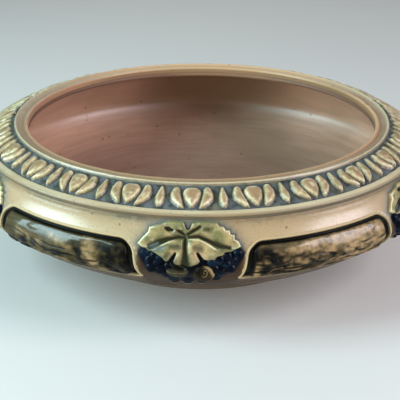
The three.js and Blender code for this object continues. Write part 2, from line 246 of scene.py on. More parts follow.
class BowlVessel(bpy.types.PropertyGroup):
    """Sizes of the turned body, foot, lip and bead."""

    lip_width: length("Lip width", 6 * MM, "From the inside of the lip to its outer ridge")
    lip_ridge: length("Lip ridge", 0.6 * MM, "From the lip's outer wall in to the crest of its ridge")
    lip_dish: length("Lip dish", 1.25 * MM, "Depth of the lip's channel below its ridge")
    lip_fall: length("Lip fall", 0.55 * MM, "How much lower the inner roll lies than the ridge")
    lip_wander: length("Lip wander", 0.12 * MM, "How unevenly the lip's top is worn")
    roll_wear: length("Roll wear", 0.35 * MM, "How much lower the roll is worn on the left")
    chip_depth: length("Chip depth", 0.5 * MM, "Depth of the lip's chips")
    tongue: length("Tongue", 2 * MM, "Height of the wall's edge under the lip ring")
    border_fall: length("Border fall", 5.7 * MM, "Drop of the sloping border from lip to bead")
    lip_stand: length("Lip stand", 2 * MM, "How far the lip stands over the border")
    bead_width: length("Bead width", 3.4 * MM, "Width of the shoulder bead")
    bead_lap: length("Bead lap", 0.7 * MM, "How far the bead laps over the border's lower end")
    bead_wander: length("Bead wander", 0.1 * MM, "How unevenly the bead's top is worn")
    bead_groove: length("Bead groove", 0.45 * MM, "Depth of the groove turned under the bead")
    groove_drop: length("Groove drop", 0.6 * MM, "From the bead down to the middle of its groove")
    groove_reach: length("Groove reach", 0.7 * MM, "Half width of the groove under the bead")
    belly_height: length("Belly height", 35.5 * MM, "Height of the widest part of the bowl")
    shoulder_round: length("Shoulder round", 7 * MM, "Reach of the hollow between bead and belly")
    belly_round: length("Belly round", 8 * MM, "Reach of the round from belly to foot")
    wall: length("Wall", 5.5 * MM, "Thickness of the wall and floor")
    foot_width: length("Foot width", 7 * MM, "Width of the foot ring")
    foot_flare: length("Foot flare", 1 * MM, "How far the foot spreads towards the table")
    foot_run: length("Foot run", 13 * MM, "How far the curve runs out over the foot")
    foot_rise: length("Foot rise", 0.8 * MM, "How far the curve rises over its run")
    segments: count("Segments", 600, "Steps round the turned pieces")


class BowlOrnament(bpy.types.PropertyGroup):
    """Sizes of the relief on the border, in the panels and in the medallions."""

    fineness: length("Fineness", 0.32 * MM, "Spacing of the points that model the relief")
    sprig_ground: length("Sprig ground", 0.5 * MM, "Thickness of a border sprig between its forms")
    sprig_relief: length("Sprig relief", 1.95 * MM, "Height of the eggs, husks and darts")
    sprig_uneven: length("Sprig unevenness", 0.12 * MM, "Height of the border's unevenness")
    sprig_edge: length("Sprig edge", 2.9 * MM, "Width of the rounded edge of an egg, husk or dart")
    sprig_middle: length("Sprig middle", 2.2 * MM, "From an egg's middle to the middle of its sprig")
    sprig_lap: length("Sprig lap", 0.25 * MM, "How far a sprig laps under the lip and the bead")
    medallion_width: length("Medallion width", 49 * MM, "Plain clay between two panels, at the belly")
    panel_top: length("Panel top", 8.7 * MM, "From the bead down to a panel's upper edge")
    panel_height: length("Panel height", 18.7 * MM, "Height of a panel, along the flank")
    panel_corner: length("Panel corner", 6 * MM, "Radius of a panel's upper corners")
    panel_splay: length("Panel splay", 3.4 * MM, "How far a panel's ends spread towards the foot")
    panel_ridge: length("Panel ridge", 1.45 * MM, "Width of the clay ridge outside a panel's edge")
    ridge_skirt: length("Ridge skirt", 0.45 * MM, "How far the ridge's outer edge dips into the flank")
    ridge_height: length("Ridge height", 0.4 * MM, "How proud the ridge stands at a panel's ends")
    groove_width: length("Groove width", 1.7 * MM, "Width of the groove round the bark")
    groove_depth: length("Groove depth", 1.3 * MM, "Depth of the groove round the bark")
    bark_crown: length("Bark crown", 1.15 * MM, "How proud the bark stands over the flank")
    bark_relief: length("Bark relief", 1.15 * MM, "Depth of the bark's lumps and furrows")
    bark_warp: length("Bark warp", 2.0 * MM, "How far the bark's grain wanders")
    bark_top: length("Bark top", 1.5 * MM, "Height that no lump of bark passes")
    pocket_depth: length("Pocket depth", 2.1 * MM, "Depth of the pocket behind a panel")
    pocket_margin: length("Pocket margin", 0.35 * MM, "How far the pocket reaches past a panel's edge")
    pocket_gap: length("Pocket gap", 0.3 * MM, "Room between a panel's back and its pocket")
    leaf_steps: count("Leaf steps", 112, "Columns and rows of points that model a leaf")
    curl_steps: count("Curl steps", 40, "Columns and rows of points that model its curled tip")
    leaf_rim: length("Leaf rim", 1.0 * MM, "Height of the leaf at its edge")
    leaf_swell: length("Leaf swell", 1.7 * MM, "How much the leaf swells between its veins")
    leaf_fold: length("Leaf fold", 0.5 * MM, "Height of the folds beside the veins")
    leaf_wave: length("Leaf wave", 0.25 * MM, "Height of the leaf's unevenness")
    leaf_top: length("Leaf top", 2.6 * MM, "Height that no part of the leaf passes")
    vein_depth: length("Vein depth", 1.2 * MM, "Depth of the leaf's veins")
    edge_lift: length("Edge lift", 0.2 * MM, "How proud curls and rosettes stand at their edge")
    seat: length("Seat", 0.6 * MM, "How deep leaves and rosettes sit in the flank")
    berry_radius: length("Berry radius", 2.5 * MM, "Radius of a grape")
    bed_columns: count("Bed columns", 56, "Columns of points that model the clay under the grapes")
    bed_rows: count("Bed rows", 52, "Rows of points that model the clay under the grapes")
    bed_rise: length("Bed rise", 0.6 * MM, "How far the clay under the grapes rises from its edge")
    bed_sink: length("Bed sink", 0.3 * MM, "How deep the edge of that clay lies in the flank")
    bed_back: length("Bed back", 0.8 * MM, "How deep the back of that clay lies in the flank")
    rosette_steps: count("Rosette steps", 72, "Columns and rows of points that model a rosette")
    rosette_across: length("Rosette across", 5.6 * MM, "Rosette's place to the right of the leaf's middle")
    rosette_down: length("Rosette down", 21.2 * MM, "Rosette's place below the bead")
    rosette_radius: length("Rosette radius", 4.6 * MM, "Radius of the rolled rosette")
    rosette_height: length("Rosette height", 3.0 * MM, "Height of the rolled rosette")
    rosette_groove: length("Rosette groove", 0.4 * MM, "Depth of the groove along the rosette's roll")
    rosette_roll: length("Rosette roll", 0.85 * MM, "Width of one turn of the rosette's roll")


class BowlGlazes(bpy.types.PropertyGroup):
    """Colours of the glazes: on the flat, where they thin over ridges, and where they pool."""

    body: tone("Body", (156, 140, 108), "Tan glaze of the flank")
    # Also the painted highlight on the ends of the panels' ridges
    body_thin: tone("Body thin", (174, 162, 120), "Tan glaze where it thins over an edge")
    blush: tone("Blush", (152, 126, 92), "Pinkish clouds in the tan glaze")
    # Also the painted shade under the bead, where stain pools in its groove
    stain: tone("Stain", (84, 84, 72), "Grey-green stain pooled in grooves")
    halo: tone("Halo", (82, 92, 90), "Blue-grey halo round the leaves")
    # Painted shade low on the flank, on the bead's outer side, the panels' lower ridge and the foot's
    # hollows; also a speck colour
    shade: tone("Shade", (42, 26, 17), "Brown brushed under the medallions")
    inside: tone("Inside", (192, 149, 122), "Pinkish brown of the inside")
    # Also painted shade under the lip, at the back of the inside and on the lip's inner face
    inside_dark: tone("Inside dark", (80, 57, 43), "Darker strokes of the inside")
    inside_floor: tone("Inside floor", (162, 128, 110), "Greyer brown of the floor")
    lip: tone("Lip", (156, 144, 114), "Cream-tan of the lip and bead")
    lip_flat: tone("Lip flat", (132, 103, 72), "Brown of the lip's channel")
    lip_roll: tone("Lip roll", (182, 146, 109), "Warm tan of the lip's inner roll")
    bead: tone("Bead", (186, 172, 138), "Cream of the shoulder bead")
    lip_dark: tone("Lip dark", (96, 68, 48), "Dark brown of specks and chips")
    sprig: tone("Sprig", (142, 115, 82), "Ochre-tan of the border's forms")
    sprig_thin: tone("Sprig thin", (204, 194, 156), "Yellow-cream on the edges of the forms")
    sprig_side: tone("Sprig side", (106, 102, 68), "Yellow-green on the sides of the forms")
    sprig_pool: tone("Sprig pool", (88, 94, 97), "Blue-grey stain of the border's ground")
    bark: tone("Bark", (58, 49, 29), "Brown of the bark")
    bark_green: tone("Bark green", (52, 47, 22), "Olive clouds in the bark")
    bark_thin: tone("Bark thin", (156, 132, 95), "Cream where the bark was wiped")
    bark_pool: tone("Bark pool", (8, 8, 6), "Near black of the bark's furrows")
    leaf: tone("Leaf", (108, 108, 66), "Olive yellow of the leaf")
    leaf_tan: tone("Leaf tan", (158, 138, 98), "Tan where the leaf's glaze is thinner")
    # Also the painted highlight on the leaf's edges and folds
    leaf_thin: tone("Leaf thin", (196, 196, 156), "Cream on the leaf's edges")
    leaf_pool: tone("Leaf pool", (38, 40, 28), "Dark olive in the leaf's veins")
    grape: tone("Grape", (4, 7, 17), "Blue-black of the grapes")
    grape_thin: tone("Grape thin", (14, 32, 46), "Teal glint on the grapes")
    rosette: tone("Rosette", (46, 38, 25), "Dark brown of the rosette")
    floor: tone("Floor", (206, 204, 200), "Pale floor under the bowl")


def vessel():
    """Sizes of the turned pieces in use."""
    return bpy.context.scene.bowl_vessel


def ornament():
    """Sizes of the relief in use."""
    return bpy.context.scene.bowl_ornament


def glazes():
    """Colours in use."""
    return bpy.context.scene.bowl_glazes


# Curves and the surfaces that relief is laid on

def bezier(start, leave, arrive, end, steps):
    """Points of a cubic curve in the half section, as radius and height."""
    t = np.linspace(0, 1, steps + 1)[:, None]
    start, leave, arrive, end = (np.array(p, float) for p in (start, leave, arrive, end))
    s = 1 - t
    return s ** 3 * start + 3 * s ** 2 * t * leave + 3 * s * t ** 2 * arrive + t ** 3 * end


def rounded(points, steps):
    """A smooth open line through points, each span a curve that leaves along its neighbours' chord."""
    points = np.array(points, float)
    padded = np.vstack([2 * points[0] - points[1], points, 2 * points[-1] - points[-2]])
    line = [points[:1]]
    for before, start, end, after in zip(padded, padded[1:], padded[2:], padded[3:]):
        line.append(bezier(start, start + (end - before) / 6, end - (after - start) / 6, end, steps)[1:])
    return np.vstack(line)


def swept(radius, height, angle):
    """Points at a radius and height, at an angle round the bowl from its front."""
    return np.column_stack([radius * np.sin(angle), -radius * np.cos(angle), height])


def around(places):
    """Radius of points, their angle round the bowl from its front, and their height."""
    x, y, height = places.T
    return np.hypot(x, y), np.arctan2(x, -y), height


class Flank:
    """The outside of the body below the bead: hollow shoulder, rounded belly and fall to the foot."""

    def __init__(self):
        sizes = vessel()
        self.belly = BODY_HIGH.y
        self.pitch = self.belly * MEDALLION_TURN
        top = (BEAD_HIGH.x, BEAD_LOW.z)
        belly = (self.belly, sizes.belly_height)
        foot = (FOOT_HIGH.x - sizes.foot_flare, FOOT_HIGH.z)
        upper = bezier(
            top, (top[0], top[1] - sizes.shoulder_round),
            (belly[0], belly[1] + sizes.shoulder_round), belly, steps=60,
        )
        lower = bezier(
            belly, (belly[0], belly[1] - sizes.belly_round),
            (foot[0] + sizes.foot_run, foot[1] + sizes.foot_rise), foot, steps=120,
        )
        self.line = np.vstack([upper, lower[1:]])
        steps = np.hypot(*np.diff(self.line, axis=0).T)
        self.down = np.concatenate([[0], np.cumsum(steps)])
        self.slope = np.gradient(self.line, self.down, axis=0)

    def start(self, number):
        """How far across the middle of a medallion lies, counted from the front."""
        return number * self.pitch

    def at(self, down):
        """Radius and height at a distance down from the bead."""
        return (np.interp(down, self.down, self.line[:, i]) for i in range(2))

    def laid(self, across, down, proud):
        """Points on the flank: across at the belly, down from the bead, and proud of the clay."""
        radius, height = self.at(down)
        out, fall = (np.interp(down, self.down, self.slope[:, i]) for i in range(2))
        return swept(radius - fall * proud, height + out * proud, across / self.belly)

    def flat(self, points):
        """How far across and down points of the flank lie, and how far outside it they are."""
        radius, angle, height = around(points)
        down = np.interp(-height, -self.line[:, 1], self.down)
        clay = np.interp(down, self.down, self.line[:, 0])
        return angle * self.belly, down, radius - clay


class Border:
    """The slope between the lip and the bead."""

    def __init__(self):
        sizes = vessel()
        inner = np.array([LIP_HIGH.x, LIP_HIGH.z - sizes.lip_stand])
        outer = np.array([BEAD_HIGH.x - sizes.bead_width, inner[1] - sizes.border_fall])
        self.middle = (inner + outer) / 2
        self.length = np.hypot(*(outer - inner))
        self.fall = (outer - inner) / self.length

    def laid(self, across, up, proud):
        """Points on the slope: across and up from the middle of a repeat, and proud of the clay."""
        radius = self.middle[0] - self.fall[0] * up - self.fall[1] * proud
        height = self.middle[1] - self.fall[1] * up + self.fall[0] * proud
        return swept(radius, height, across / self.middle[0])


# Measures of strokes and outlines, in metres

def inside_stroke(across, down, stroke):
    """How far points lie inside a chain of discs, negative outside it."""
    best = np.full(np.shape(across), -np.inf)
    discs = np.array(stroke, float) * MM
    for (x0, y0, r0), (x1, y1, r1) in zip(discs, discs[1:]):
        run = np.array([x1 - x0, y1 - y0])
        t = np.clip(((across - x0) * run[0] + (down - y0) * run[1]) / (run @ run), 0, 1)
        away = np.hypot(across - x0 - t * run[0], down - y0 - t * run[1])
        best = np.maximum(best, r0 + t * (r1 - r0) - away)
    return best


def within_strokes(across, down, strokes):
    """How far points lie inside the nearest of several strokes."""
    return np.maximum.reduce([inside_stroke(across, down, stroke) for stroke in strokes])


def inside_outline(across, down, outline):
    """How far points lie inside a closed outline, negative outside it."""
    nearest = np.full(np.shape(across), np.inf)
    within = np.zeros(np.shape(across), bool)
    for (x0, y0), (x1, y1) in zip(outline, np.roll(outline, -1, axis=0)):
        run = np.array([x1 - x0, y1 - y0])
        t = np.clip(((across - x0) * run[0] + (down - y0) * run[1]) / (run @ run), 0, 1)
        nearest = np.minimum(nearest, np.hypot(across - x0 - t * run[0], down - y0 - t * run[1]))
        if y0 != y1:
            crossing = x0 + (down - y0) * run[0] / run[1]
            within ^= ((y0 > down) != (y1 > down)) & (across < crossing)
    return np.where(within, nearest, -nearest)


def ease(value, low, high):
    """A smooth step from 0 at low to 1 at high."""
    t = np.clip((value - low) / (high - low), 0, 1)
    return t * t * (3 - 2 * t)


def fade(value, low, high):
    """A smooth step from 1 at low to 0 at high."""
    return 1 - ease(value, low, high)


def hump(away, width):
    """A round hump, 1 where away is 0."""
    return np.exp(-(away / width) ** 2)


def fringe(away, width):
    """A sharp crest that fades on both sides of where away is 0."""
    return np.exp(-np.abs(away) / width)


def quarter_round(inside, edge):
    """The rise of a rounded edge: steep at the outline, level from the edge's width inwards."""
    t = np.clip(inside / edge, 0, 1)
    return np.sqrt(1 - (1 - t) ** 2)


def ripple(across, down, seed, width, height):
    """Smooth noise from about -1 to 1, with features of the given width and height."""
    return np.array([noise.noise((a / width, d / height, seed)) for a, d in zip(across, down)])


# Mesh making

def parts_of(kind, geometry):
    """The vertices, edges or faces in what a bmesh operator returned."""
    return [part for part in geometry if isinstance(part, kind)]


def turned(section, steps):
    """A ring or vessel, spun one medallion wide from its half section and repeated round the bowl."""
    bm = bmesh.new()
    verts = [bm.verts.new((0, -radius, height)) for radius, height in section]
    edges = [bm.edges.new(pair) for pair in zip(verts, verts[1:])]
    bmesh.ops.spin(
        bm, geom=verts + edges, cent=(0, 0, 0), axis=(0, 0, 1),
        angle=MEDALLION_TURN, steps=steps // MEDALLIONS,
    )
    sector = bm.verts[:] + bm.edges[:] + bm.faces[:]
    for number in range(1, MEDALLIONS):
        copied = bmesh.ops.duplicate(bm, geom=sector)["geom"]
        turn = Matrix.Rotation(number * MEDALLION_TURN, 3, "Z")
        bmesh.ops.rotate(bm, verts=parts_of(bmesh.types.BMVert, copied), matrix=turn)
    bmesh.ops.remove_doubles(bm, verts=bm.verts[:], dist=WELD)
    bmesh.ops.recalc_face_normals(bm, faces=bm.faces[:])
    return bm


def slab_of(columns, rows, curved_back=False):
    """A slab with a grid on top; a curved back is a grid too, so that it can follow the wall behind it."""
    bm = bmesh.new()
    bmesh.ops.create_grid(bm, x_segments=columns, y_segments=rows, size=1)
    if curved_back:
        back = bm.verts[:]
        bmesh.ops.extrude_face_region(bm, geom=bm.faces[:])
    else:
        rim = [edge for edge in bm.edges if edge.is_boundary]
        wall = bmesh.ops.extrude_edge_only(bm, edges=rim)["geom"]
        back = parts_of(bmesh.types.BMVert, wall)
        bmesh.ops.holes_fill(bm, edges=parts_of(bmesh.types.BMEdge, wall))
    bmesh.ops.translate(bm, verts=back, vec=(0, 0, -1))
    bmesh.ops.recalc_face_normals(bm, faces=bm.faces[:])
    for edge in bm.edges:
        edge.smooth = edge.calc_face_angle(0) < SHARP
    return bm


def new_piece(bm, name, nodes, materials):
    """Makes the object that stands for one or more nodes of the frame."""
    mesh = bpy.data.meshes.new(name)
    bm.to_mesh(mesh)
    mesh.shade_smooth()
    for material in materials:
        mesh.materials.append(material)
    piece = bpy.data.objects.new(name, mesh)
    bpy.context.scene.collection.objects.link(piece)
    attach(piece, "root")
    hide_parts(*nodes)
    return piece


def points_of(piece):
    """Where a piece's points are."""
    places = np.empty(3 * len(piece.data.vertices))
    piece.data.vertices.foreach_get("co", places)
    return places.reshape(-1, 3)


def move_points(piece, places):
    """Moves all of a piece's points."""
    piece.data.vertices.foreach_set("co", places.ravel())
    piece.data.update()


def slab_places(piece):
    """Where the points of a slab lie, from -1 to 1 across and up, and which of them are on top."""
    across, up, high = points_of(piece).T
    return across / np.abs(across).max(), up / np.abs(up).max(), high > -0.5


def spread(across, up, outline, middle):
    """Lays a square slab out to an outline that runs from the middle of its upper side to the left."""
    reach = np.maximum(np.abs(across), np.abs(up))
    a, b = across / np.maximum(reach, 1e-9), up / np.maximum(reach, 1e-9)
    sides = [b > 1 - 1e-6, a < -1 + 1e-6, b < -1 + 1e-6]
    share = np.select(sides, [-a, 2 - b, 4 + a], 6 + b) / 8 % 1
    closed = np.vstack([outline, outline[:1]])
    along = np.concatenate([[0], np.cumsum(np.hypot(*np.diff(closed, axis=0).T))])
    edge = np.column_stack([np.interp(share * along[-1], along, closed[:, i]) for i in range(2)])
    return (middle + reach[:, None] * (edge - middle)).T, reach


def oval(across, down, half_width, half_height):
    """An oval outline, from the middle of its upper side round to the left."""
    turn = np.linspace(0, 2 * math.pi, 96, endpoint=False)
    return np.column_stack([across - half_width * np.sin(turn), down - half_height * np.cos(turn)])


def lines_between(half, fine, coarse, band):
    """Grid lines from minus half to half, close together within a band at each end, as shares of half."""
    near = np.linspace(0, band, math.ceil(band / fine) + 1)
    middle = np.linspace(band - half, half - band, math.ceil(2 * (half - band) / coarse) + 1)
    return np.concatenate([near[:-1] - half, middle, half - near[-2::-1]]) / half


def mark(piece, name, values):
    """Gives a piece an attribute that its glaze reads."""
    layer = piece.data.attributes.new(name, "FLOAT", "POINT")
    layer.data.foreach_set("value", np.clip(values, 0, 1).astype(np.float32))


def mark_relief(piece, passes, depth):
    """Marks where a piece stands out of, or lies below, the surface smoothed over its neighbourhood."""
    mesh = piece.data
    places = points_of(piece)
    ends = np.empty(2 * len(mesh.edges), int)
    mesh.edges.foreach_get("vertices", ends)
    start = np.concatenate([ends[0::2], ends[1::2]])
    end = np.concatenate([ends[1::2], ends[0::2]])
    neighbours = np.bincount(start, minlength=len(places))
    smooth = places
    for _ in range(passes):
        total = np.column_stack([np.bincount(start, smooth[end, i], len(places)) for i in range(3)])
        smooth = (smooth + total) / (1 + neighbours)[:, None]
    normals = np.empty(3 * len(mesh.vertices), np.float32)
    mesh.vertex_normals.foreach_get("vector", normals)
    stand = np.sum((places - smooth) * normals.reshape(-1, 3), axis=1) / depth
    mark(piece, "ridge", stand)
    mark(piece, "hollow", -stand)


# Shader nodes

def feed(tree, value, socket):
    """Joins a node's output to a socket, or sets the socket to a plain value."""
    if isinstance(value, bpy.types.NodeSocket):
        tree.links.new(value, socket)
    else:
        socket.default_value = value


def add_node(tree, kind, inputs=(), **settings):
    """Adds a node with its settings, and feeds its inputs by name or number."""
    node = tree.nodes.new(kind)
    for name, value in settings.items():
        setattr(node, name, value)
    for key, value in dict(inputs).items():
        feed(tree, value, node.inputs[key])
    return node


def add_math(tree, operation, first, second=0.0, clamp=False):
    """The result of one sum on two values."""
    node = add_node(tree, "ShaderNodeMath", {0: first, 1: second}, operation=operation, use_clamp=clamp)
    return node.outputs[0]


def add_mix(tree, factor, first, second):
    """One colour mixed over another."""
    inputs = {0: factor, 6: first, 7: second}
    return add_node(tree, "ShaderNodeMix", inputs, data_type="RGBA", clamp_factor=True).outputs[2]


def add_noise(tree, vector, scale, detail=2.0):
    """Noise from 0 to 1."""
    node = add_node(tree, "ShaderNodeTexNoise", {"Vector": vector, "Scale": scale, "Detail": detail})
    return node.outputs["Fac"]


def add_step(tree, value, low, high, floor=0.0, top=1.0):
    """A smooth step of a value between two levels."""
    inputs = {0: value, 1: low, 2: high, 3: floor, 4: top}
    return add_node(tree, "ShaderNodeMapRange", inputs, interpolation_type="SMOOTHSTEP").outputs[0]


def new_group(name, inputs, outputs):
    """An empty shader node group with named sockets: kind and default by name."""
    tree = bpy.data.node_groups.new(name, "ShaderNodeTree")
    for socket_name, (kind, default) in inputs.items():
        socket = tree.interface.new_socket(socket_name, in_out="INPUT", socket_type=kind)
        if default is not None:
            socket.default_value = default
    for socket_name, kind in outputs.items():
        tree.interface.new_socket(socket_name, in_out="OUTPUT", socket_type=kind)
    return tree, tree.nodes.new("NodeGroupInput").outputs, tree.nodes.new("NodeGroupOutput").inputs


def add_group(tree, name, make, inputs):
    """Adds a shared node group, made the first time it is used, and gives its outputs."""
    group = bpy.data.node_groups.get(name) or make(name)
    return add_node(tree, "ShaderNodeGroup", inputs, node_tree=group).outputs


# Node groups of the glazes
COLOUR, VALUE, VECTOR = "NodeSocketColor", "NodeSocketFloat", "NodeSocketVector"
GREY = (0.5, 0.5, 0.5, 1)

# How strongly the glaze, and the gloss over it, bend light
GLAZE_IOR, GLOSS_IOR = 1.5, 1.7


def glaze_flow(name):
    """Glaze that mottles on the flat, thins over ridges and pools in hollows."""
    tree, given, made = new_group(
        name,
        {
            "Vector": (VECTOR, None),
            "Base": (COLOUR, GREY), "Thin": (COLOUR, GREY), "Pool": (COLOUR, GREY),
            "Ridge": (VALUE, 0.0), "Hollow": (VALUE, 0.0),
            "Mottle": (VALUE, 0.5), "Grain": (VALUE, 60.0), "Granules": (VALUE, 0.3),
        },
        {"Color": COLOUR},
    )
    broad = add_noise(tree, given["Vector"], given["Grain"], 3.0)
    fine = add_noise(tree, given["Vector"], add_math(tree, "MULTIPLY", given["Grain"], 9.0), 3.0)
    patch = add_math(tree, "MULTIPLY", add_step(tree, broad, 0.3, 0.72), given["Mottle"])
    deeper = add_mix(tree, 0.45, given["Base"], given["Pool"])
    grains = add_step(tree, add_noise(tree, given["Vector"], 1500.0, 2.0), 0.4, 0.7)
    granule = add_math(tree, "MULTIPLY", grains, given["Granules"])
    mottled = add_mix(tree, add_math(tree, "MAXIMUM", patch, granule), given["Base"], deeper)
    wear = add_step(tree, fine, 0.25, 0.6, 0.55, 1.15)
    thin = add_math(tree, "MULTIPLY", given["Ridge"], wear, clamp=True)
    thinned = add_mix(tree, thin, mottled, given["Thin"])
    settling = add_step(tree, fine, 0.2, 0.7, 1.15, 0.75)
    pool = add_math(tree, "MULTIPLY", given["Hollow"], settling, clamp=True)
    feed(tree, add_mix(tree, pool, thinned, given["Pool"]), made["Color"])
    return tree


def clay_specks(name):
    """Small dark iron specks that show through a pale glaze."""
    tree, given, made = new_group(
        name,
        {"Vector": (VECTOR, None), "Share": (VALUE, 0.1), "Spacing": (VALUE, 700.0)},
        {"Mask": VALUE},
    )
    cells = add_node(tree, "ShaderNodeTexVoronoi", {"Vector": given["Vector"], "Scale": given["Spacing"]})
    chance = add_node(tree, "ShaderNodeSeparateColor", {0: cells.outputs["Color"]}).outputs[0]
    chosen = add_math(tree, "LESS_THAN", chance, given["Share"])
    spot = add_step(tree, cells.outputs["Distance"], 0.12, 0.34, 1.0, 0.0)
    feed(tree, add_math(tree, "MULTIPLY", chosen, spot), made["Mask"])
    return tree


def brush_strokes(name):
    """Strokes that run round the bowl, as glaze brushed on the turning wheel leaves them."""
    tree, given, made = new_group(
        name, {"Vector": (VECTOR, None), "Fineness": (VALUE, 300.0)}, {"Strength": VALUE}
    )
    axes = add_node(tree, "ShaderNodeSeparateXYZ", {0: given["Vector"]}).outputs
    level = add_node(tree, "ShaderNodeCombineXYZ", {0: axes[0], 1: axes[1], 2: 0.0}).outputs[0]
    radius = add_node(tree, "ShaderNodeVectorMath", {0: level}, operation="LENGTH").outputs["Value"]
    facing = add_node(tree, "ShaderNodeVectorMath", {0: level}, operation="NORMALIZE").outputs[0]
    course = add_math(tree, "MULTIPLY", add_math(tree, "ADD", radius, axes[2]), given["Fineness"])
    turn = add_node(tree, "ShaderNodeSeparateXYZ", {0: facing}).outputs
    run_x, run_y = (add_math(tree, "MULTIPLY", turn[axis], 3.0) for axis in range(2))
    stroke = add_node(tree, "ShaderNodeCombineXYZ", {0: run_x, 1: run_y, 2: course}).outputs[0]
    feed(tree, add_noise(tree, stroke, 1.0, 4.0), made["Strength"])
    return tree


def satin_break(name):
    """Roughness that wanders between two levels, and the fine waviness of a fired glaze."""
    tree, given, made = new_group(
        name,
        {"Vector": (VECTOR, None), "Smooth": (VALUE, 0.3), "Dull": (VALUE, 0.5)},
        {"Roughness": VALUE, "Height": VALUE},
    )
    patches = add_noise(tree, given["Vector"], 90.0, 4.0)
    feed(tree, add_step(tree, patches, 0.3, 0.7, given["Smooth"], given["Dull"]), made["Roughness"])
    wave = add_noise(tree, given["Vector"], 350.0, 2.0)
    pin = add_noise(tree, given["Vector"], 1800.0, 1.0)
    feed(tree, add_math(tree, "ADD", wave, add_math(tree, "MULTIPLY", pin, 0.35)), made["Height"])
    return tree


def attribute(tree, name):
    """A mark that was put on the piece's points."""
    return add_node(tree, "ShaderNodeAttribute", attribute_name=name).outputs["Fac"]


def glaze_material(
    name, base, thin, pool, gloss, layers=(),
    mottle=0.4, grain=60.0, granules=0.3, bump=0.05, specular=0.4, coat=None,
):
    """A fired glaze with layers over its colour; coat is how rough its gloss is where it isn't bare."""
    material = bpy.data.materials.new(name)
    material.use_nodes = True
    tree = material.node_tree
    shader = tree.nodes["Principled BSDF"]
    place = add_node(tree, "ShaderNodeTexCoord").outputs["Object"]
    ridge, hollow = attribute(tree, "ridge"), attribute(tree, "hollow")
    flow = {
        "Vector": place, "Base": base, "Thin": thin, "Pool": pool, "Ridge": ridge, "Hollow": hollow,
        "Mottle": mottle, "Grain": grain, "Granules": granules,
    }
    colour = add_group(tree, "Glaze flow", glaze_flow, flow)["Color"]
    smooth, dull = gloss
    satin = add_group(tree, "Satin break", satin_break, {"Vector": place, "Smooth": smooth, "Dull": dull})
    waves = {"Strength": bump, "Distance": 1.0 * MM, "Height": satin["Height"]}
    feed(tree, layered(tree, place, colour, layers), shader.inputs["Base Color"])
    feed(tree, satin["Roughness"], shader.inputs["Roughness"])
    feed(tree, add_node(tree, "ShaderNodeBump", waves).outputs[0], shader.inputs["Normal"])
    shader.inputs["IOR"].default_value = GLAZE_IOR
    shader.inputs["Specular IOR Level"].default_value = specular
    if coat:
        sparkle = add_step(tree, add_noise(tree, place, 1400.0, 1.0), 0.35, 0.65, 0.7, 1.0)
        glossy = add_math(tree, "SUBTRACT", 1.0, attribute(tree, "bare"), clamp=True)
        feed(tree, add_math(tree, "MULTIPLY", glossy, sparkle), shader.inputs["Coat Weight"])
        shader.inputs["Coat Roughness"].default_value = coat
        shader.inputs["Coat IOR"].default_value = GLOSS_IOR
    return material


# Layers of a glaze

def layered(tree, place, colour, layers):
    """A colour with layers laid over it, one after another."""
    for lay in layers:
        colour = lay(tree, place, colour)
    return colour


def cloud(other, scale, low, high, strength):
    """A layer of soft clouds of another colour."""
    def lay(tree, place, colour):
        patch = add_step(tree, add_noise(tree, place, scale, 3.0), low, high, 0.0, strength)
        return add_mix(tree, patch, colour, other)

    return lay


def wash(name, other, *over):
    """A layer of another colour, with its own layers over it, where the piece has a mark."""
    def lay(tree, place, colour):
        return add_mix(tree, attribute(tree, name), colour, layered(tree, place, other, over))

    return lay


def sharp_wash(name, other, low, high):
    """A layer of another colour where the piece has a strong mark."""
    def lay(tree, place, colour):
        return add_mix(tree, add_step(tree, attribute(tree, name), low, high), colour, other)

    return lay


def broken_wash(name, other, scale, detail, low, high, least, most):
    """A layer of another colour where the piece has a mark, broken up by noise."""
    def lay(tree, place, colour):
        breaks = add_step(tree, add_noise(tree, place, scale, detail), low, high, least, most)
        share = add_math(tree, "MULTIPLY", attribute(tree, name), breaks, clamp=True)
        return add_mix(tree, share, colour, other)

    return lay


def brushed(other, low, high, strength):
    """A layer of strokes in another colour, brushed on round the bowl."""
    def lay(tree, place, colour):
        strokes = add_group(tree, "Brush strokes", brush_strokes, {"Vector": place})["Strength"]
        return add_mix(tree, add_step(tree, strokes, low, high, 0.0, strength), colour, other)

    return lay


def specks(share, spacing, dark, strength=0.6):
    """A layer of iron specks."""
    def lay(tree, place, colour):
        settings = {"Vector": place, "Share": share, "Spacing": spacing}
        mask = add_group(tree, "Clay specks", clay_specks, settings)["Mask"]
        return add_mix(tree, add_math(tree, "MULTIPLY", mask, strength), colour, dark)

    return lay


# Body

class BOWL_OT_body(bpy.types.Operator):
    """Turn the body, with a groove under the bead and a pocket behind each bark panel"""

    bl_idname = "bowl.body"
    bl_label = "Body"

    def execute(self, context):
        sizes, relief = vessel(), ornament()
        flank = Flank()
        bm = turned(body_section(flank), sizes.segments)
        materials = [body_material(), inside_material()]
        piece = new_piece(bm, "glazed_body", ["bowl_body"], materials)
        bm.free()
        radius, angle, height = around(points_of(piece))
        angle -= CROWDING * np.sin(MEDALLIONS * angle) / MEDALLIONS
        places = swept(radius, height, angle)
        across, down, outside = flank.flat(places)
        below_bead = height < BEAD_LOW.z + ON_LEVEL
        on_flank = (np.abs(outside) < ON_FLANK) & below_bead & (radius > FOOT_HIGH.x)
        medallion, panel = nearest_ornament(across, flank)
        panel_edge = inside_outline(panel, down, panel_outline(0))
        sunk = np.where(panel_edge > -relief.pocket_margin, relief.pocket_depth, 0)
        sunk += sizes.bead_groove * hump(down - sizes.groove_drop, sizes.groove_reach)
        move_points(piece, np.where(on_flank[:, None], flank.laid(across, down, -sunk), places))
        within = outside < -sizes.wall / 2
        set_inside_faces(piece, within, height)
        flank_bare = mark_flank(piece, on_flank, medallion, down, panel_edge)
        inside_bare = mark_inside(piece, within, angle, height)
        mark(piece, "bare", np.maximum(flank_bare, inside_bare))
        return {"FINISHED"}


